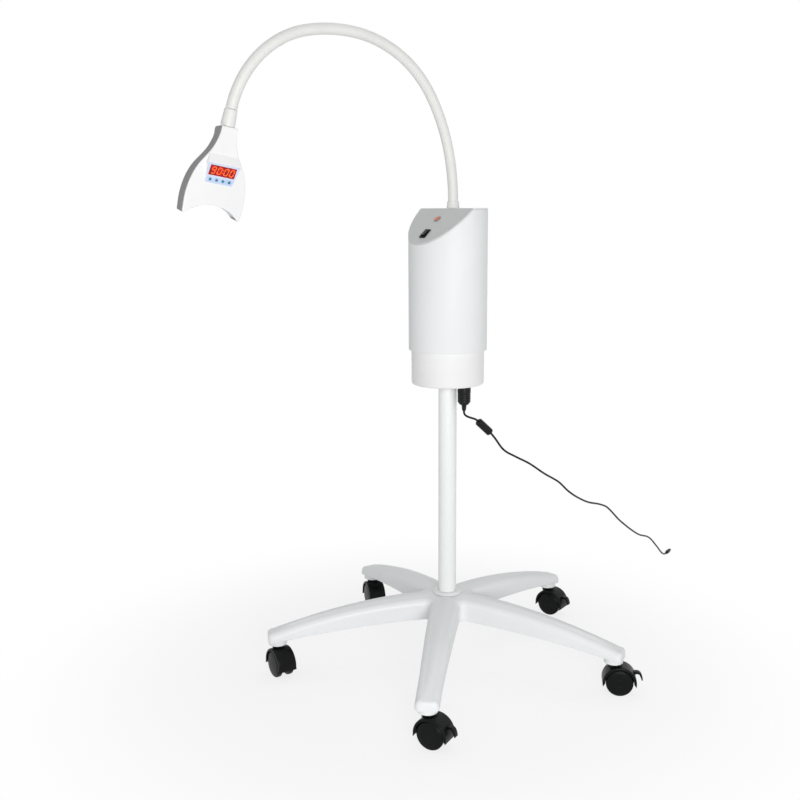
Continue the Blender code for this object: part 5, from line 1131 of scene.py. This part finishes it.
# Cord: a black plug on the cream inlet under the box, a thin low-voltage lead that runs through a
# ferrite bead clipped over it, down to the floor, and ends in a small round connector.
INLET_RADIUS, INLET_NUT, INLET_PLACE, INLET_DEPTH = 0.0120, 0.0030, (0.034, 0.0113), 0.018
PLUG_RADIUS, PLUG_LENGTH, RELIEF_RADIUS, RELIEF_LENGTH = 0.0125, 0.034, 0.0042, 0.012
CORD_DIAMETER, CORD_STEP = 0.0040, 0.004
BEAD_ENDS = np.array(((0.0456, 0.0364, 0.4850), (0.0525, 0.0625, 0.4600)))
BEAD_RADIUS, BEAD_CHAMFER, BEAD_GROOVE = 0.0075, 0.0022, 0.0004
GRIP_DEPTH, RIB_DEPTH = 0.0007, 0.0006
CONNECTOR_RADIUS, CONNECTOR_LENGTH, BARREL_RADIUS, BARREL_LENGTH = 0.0045, 0.024, 0.00275, 0.0095
ROUTE_TO_BEAD = ((0.0340, 0.0113, 0.5067), (0.0342, 0.0115, 0.5015), (0.0360, 0.0145, 0.4968),
                 (0.0400, 0.0230, 0.4925), (0.0440, 0.0316, 0.4890))
ROUTE_FROM_BEAD = ((0.0544, 0.0720, 0.4490), (0.0574, 0.0938, 0.4225), (0.0599, 0.1252, 0.4041),
                   (0.0604, 0.1609, 0.3854), (0.0585, 0.2067, 0.3565), (0.0543, 0.2531, 0.3305),
                   (0.0498, 0.2880, 0.3038), (0.0446, 0.3211, 0.2837), (0.0366, 0.3652, 0.2627),
                   (0.0257, 0.4168, 0.2455), (0.0172, 0.4526, 0.2295), (-0.0003, 0.5203, 0.1807),
                   (-0.0305, 0.6230, 0.1208), (-0.0537, 0.6946, 0.0916), (-0.0800, 0.7640, 0.0460),
                   (-0.0950, 0.8030, 0.0180), (-0.1035, 0.8260, 0.0065), (-0.1080, 0.8390, 0.0045))

INLET_CREAM = finish("inlet_cream", paint(236, 234, 216), paint(230, 227, 206), 0.36, 700.0, 0.05, 60.0)
PLUG_BLACK = finish("plug_black", paint(20, 20, 21), paint(15, 15, 16), 0.40, 700.0, 0.06, 60.0,
                    specular=0.20)
LEAD_BLACK = finish("lead_black", paint(15, 15, 16), paint(11, 11, 12), 0.42, 900.0, 0.08, 40.0,
                     specular=0.20)


def aimed(start, end):
    """A frame at start with its Z axis towards end."""
    along = Vector(end) - Vector(start)
    return Matrix.Translation(start) @ along.to_track_quat("Z", "X").to_matrix().to_4x4()


def make_inlet_and_plug():
    """The inlet with its ring, and the plug with grip ribs and a tapered relief, both turned."""
    place = stand_place(*INLET_PLACE, BOX_BOTTOM - CAP_HEIGHT)
    nut = INLET_RADIUS * 1.2
    inlet = turned(softened([(0, -INLET_NUT), (nut, -INLET_NUT), (nut, -CLEARANCE),
                             (INLET_RADIUS, -CLEARANCE),
                             (INLET_RADIUS, INLET_DEPTH), (0, INLET_DEPTH)], 0.0008), 72)
    ring = skin("inlet_ring", [moved(inlet, place)], INLET_CREAM, "stand")
    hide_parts("inlet_socket")
    top = -INLET_NUT - CLEARANCE
    foot = top - PLUG_LENGTH
    grips = [(PLUG_RADIUS - (GRIP_DEPTH if k % 2 else 0.0), top - PLUG_LENGTH * (0.34 + 0.055 * k))
             for k in range(8)]
    ribs = [(RELIEF_RADIUS * (1.25 - 0.04 * k) - (RIB_DEPTH if k % 2 else 0),
             foot - RELIEF_LENGTH * (0.10 + 0.11 * k)) for k in range(8)]
    profile = [(0, top), (PLUG_RADIUS, top), *grips, (PLUG_RADIUS * 0.98, top - PLUG_LENGTH * 0.84),
               (PLUG_RADIUS * 0.66, foot), *ribs, (RELIEF_RADIUS * 0.80, foot - RELIEF_LENGTH),
               (0, foot - RELIEF_LENGTH)]
    plug = skin("cord_plug", [moved(turned(softened(profile, 0.0006, 4), 64), place)], PLUG_BLACK, "stand")
    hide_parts("power_plug")
    return plug


def make_cord():
    """One lead: its middle line runs through the route's points, straight through the bead."""
    plug = make_inlet_and_plug()
    route = smooth_route(np.vstack([ROUTE_TO_BEAD, BEAD_ENDS, ROUTE_FROM_BEAD]), CORD_STEP) + AXIS
    curve = bpy.data.curves.new("power_lead", "CURVE")
    curve.dimensions = "3D"
    curve.bevel_depth = CORD_DIAMETER / 2
    curve.bevel_resolution = 4
    curve.use_fill_caps = True
    spline = curve.splines.new("POLY")
    spline.points.add(len(route) - 1)
    spline.points.foreach_set("co", np.column_stack([route, np.ones(len(route))]).ravel())
    spline.use_smooth = True
    curve.materials.append(LEAD_BLACK)
    lead = bpy.data.objects.new("power_lead", curve)
    bpy.context.collection.objects.link(lead)
    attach(lead, "stand")
    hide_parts("lead_to_bead", "lead")
    start, end = BEAD_ENDS + AXIS
    length = float(np.linalg.norm(end - start))
    bore, face, middle = CORD_DIAMETER / 2, BEAD_RADIUS - BEAD_CHAMFER, length / 2
    profile = [(bore, 0), (face, 0), (BEAD_RADIUS, BEAD_CHAMFER), (BEAD_RADIUS, middle - BEAD_GROOVE),
               (BEAD_RADIUS - BEAD_GROOVE, middle), (BEAD_RADIUS, middle + BEAD_GROOVE),
               (BEAD_RADIUS, length - BEAD_CHAMFER), (face, length), (bore, length)]
    shape = turned(softened(profile, 0.0007, 4, closed=True), 56)
    bead = skin("cord_bead", [moved(shape, aimed(start, end))], PLUG_BLACK, "stand")
    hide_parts("ferrite_bead")
    last, before = np.array(ROUTE_FROM_BEAD[-1]), np.array(ROUTE_FROM_BEAD[-2])
    heading = np.array((*(last - before)[:2], 0.0))
    heading /= np.linalg.norm(heading)
    foot = last + AXIS + heading * 0.0006
    profile = [(0, 0), (CORD_DIAMETER * 0.7, 0), (CONNECTOR_RADIUS, CONNECTOR_LENGTH * 0.35),
               (CONNECTOR_RADIUS, CONNECTOR_LENGTH), (BARREL_RADIUS, CONNECTOR_LENGTH),
               (BARREL_RADIUS, CONNECTOR_LENGTH + BARREL_LENGTH), (0, CONNECTOR_LENGTH + BARREL_LENGTH)]
    shape = turned(softened(profile, 0.0005, 4), 40)
    connector = skin("cord_connector", [moved(shape, aimed(foot, foot + heading))], PLUG_BLACK, "stand")
    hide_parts("lead_connector")


make_cord()
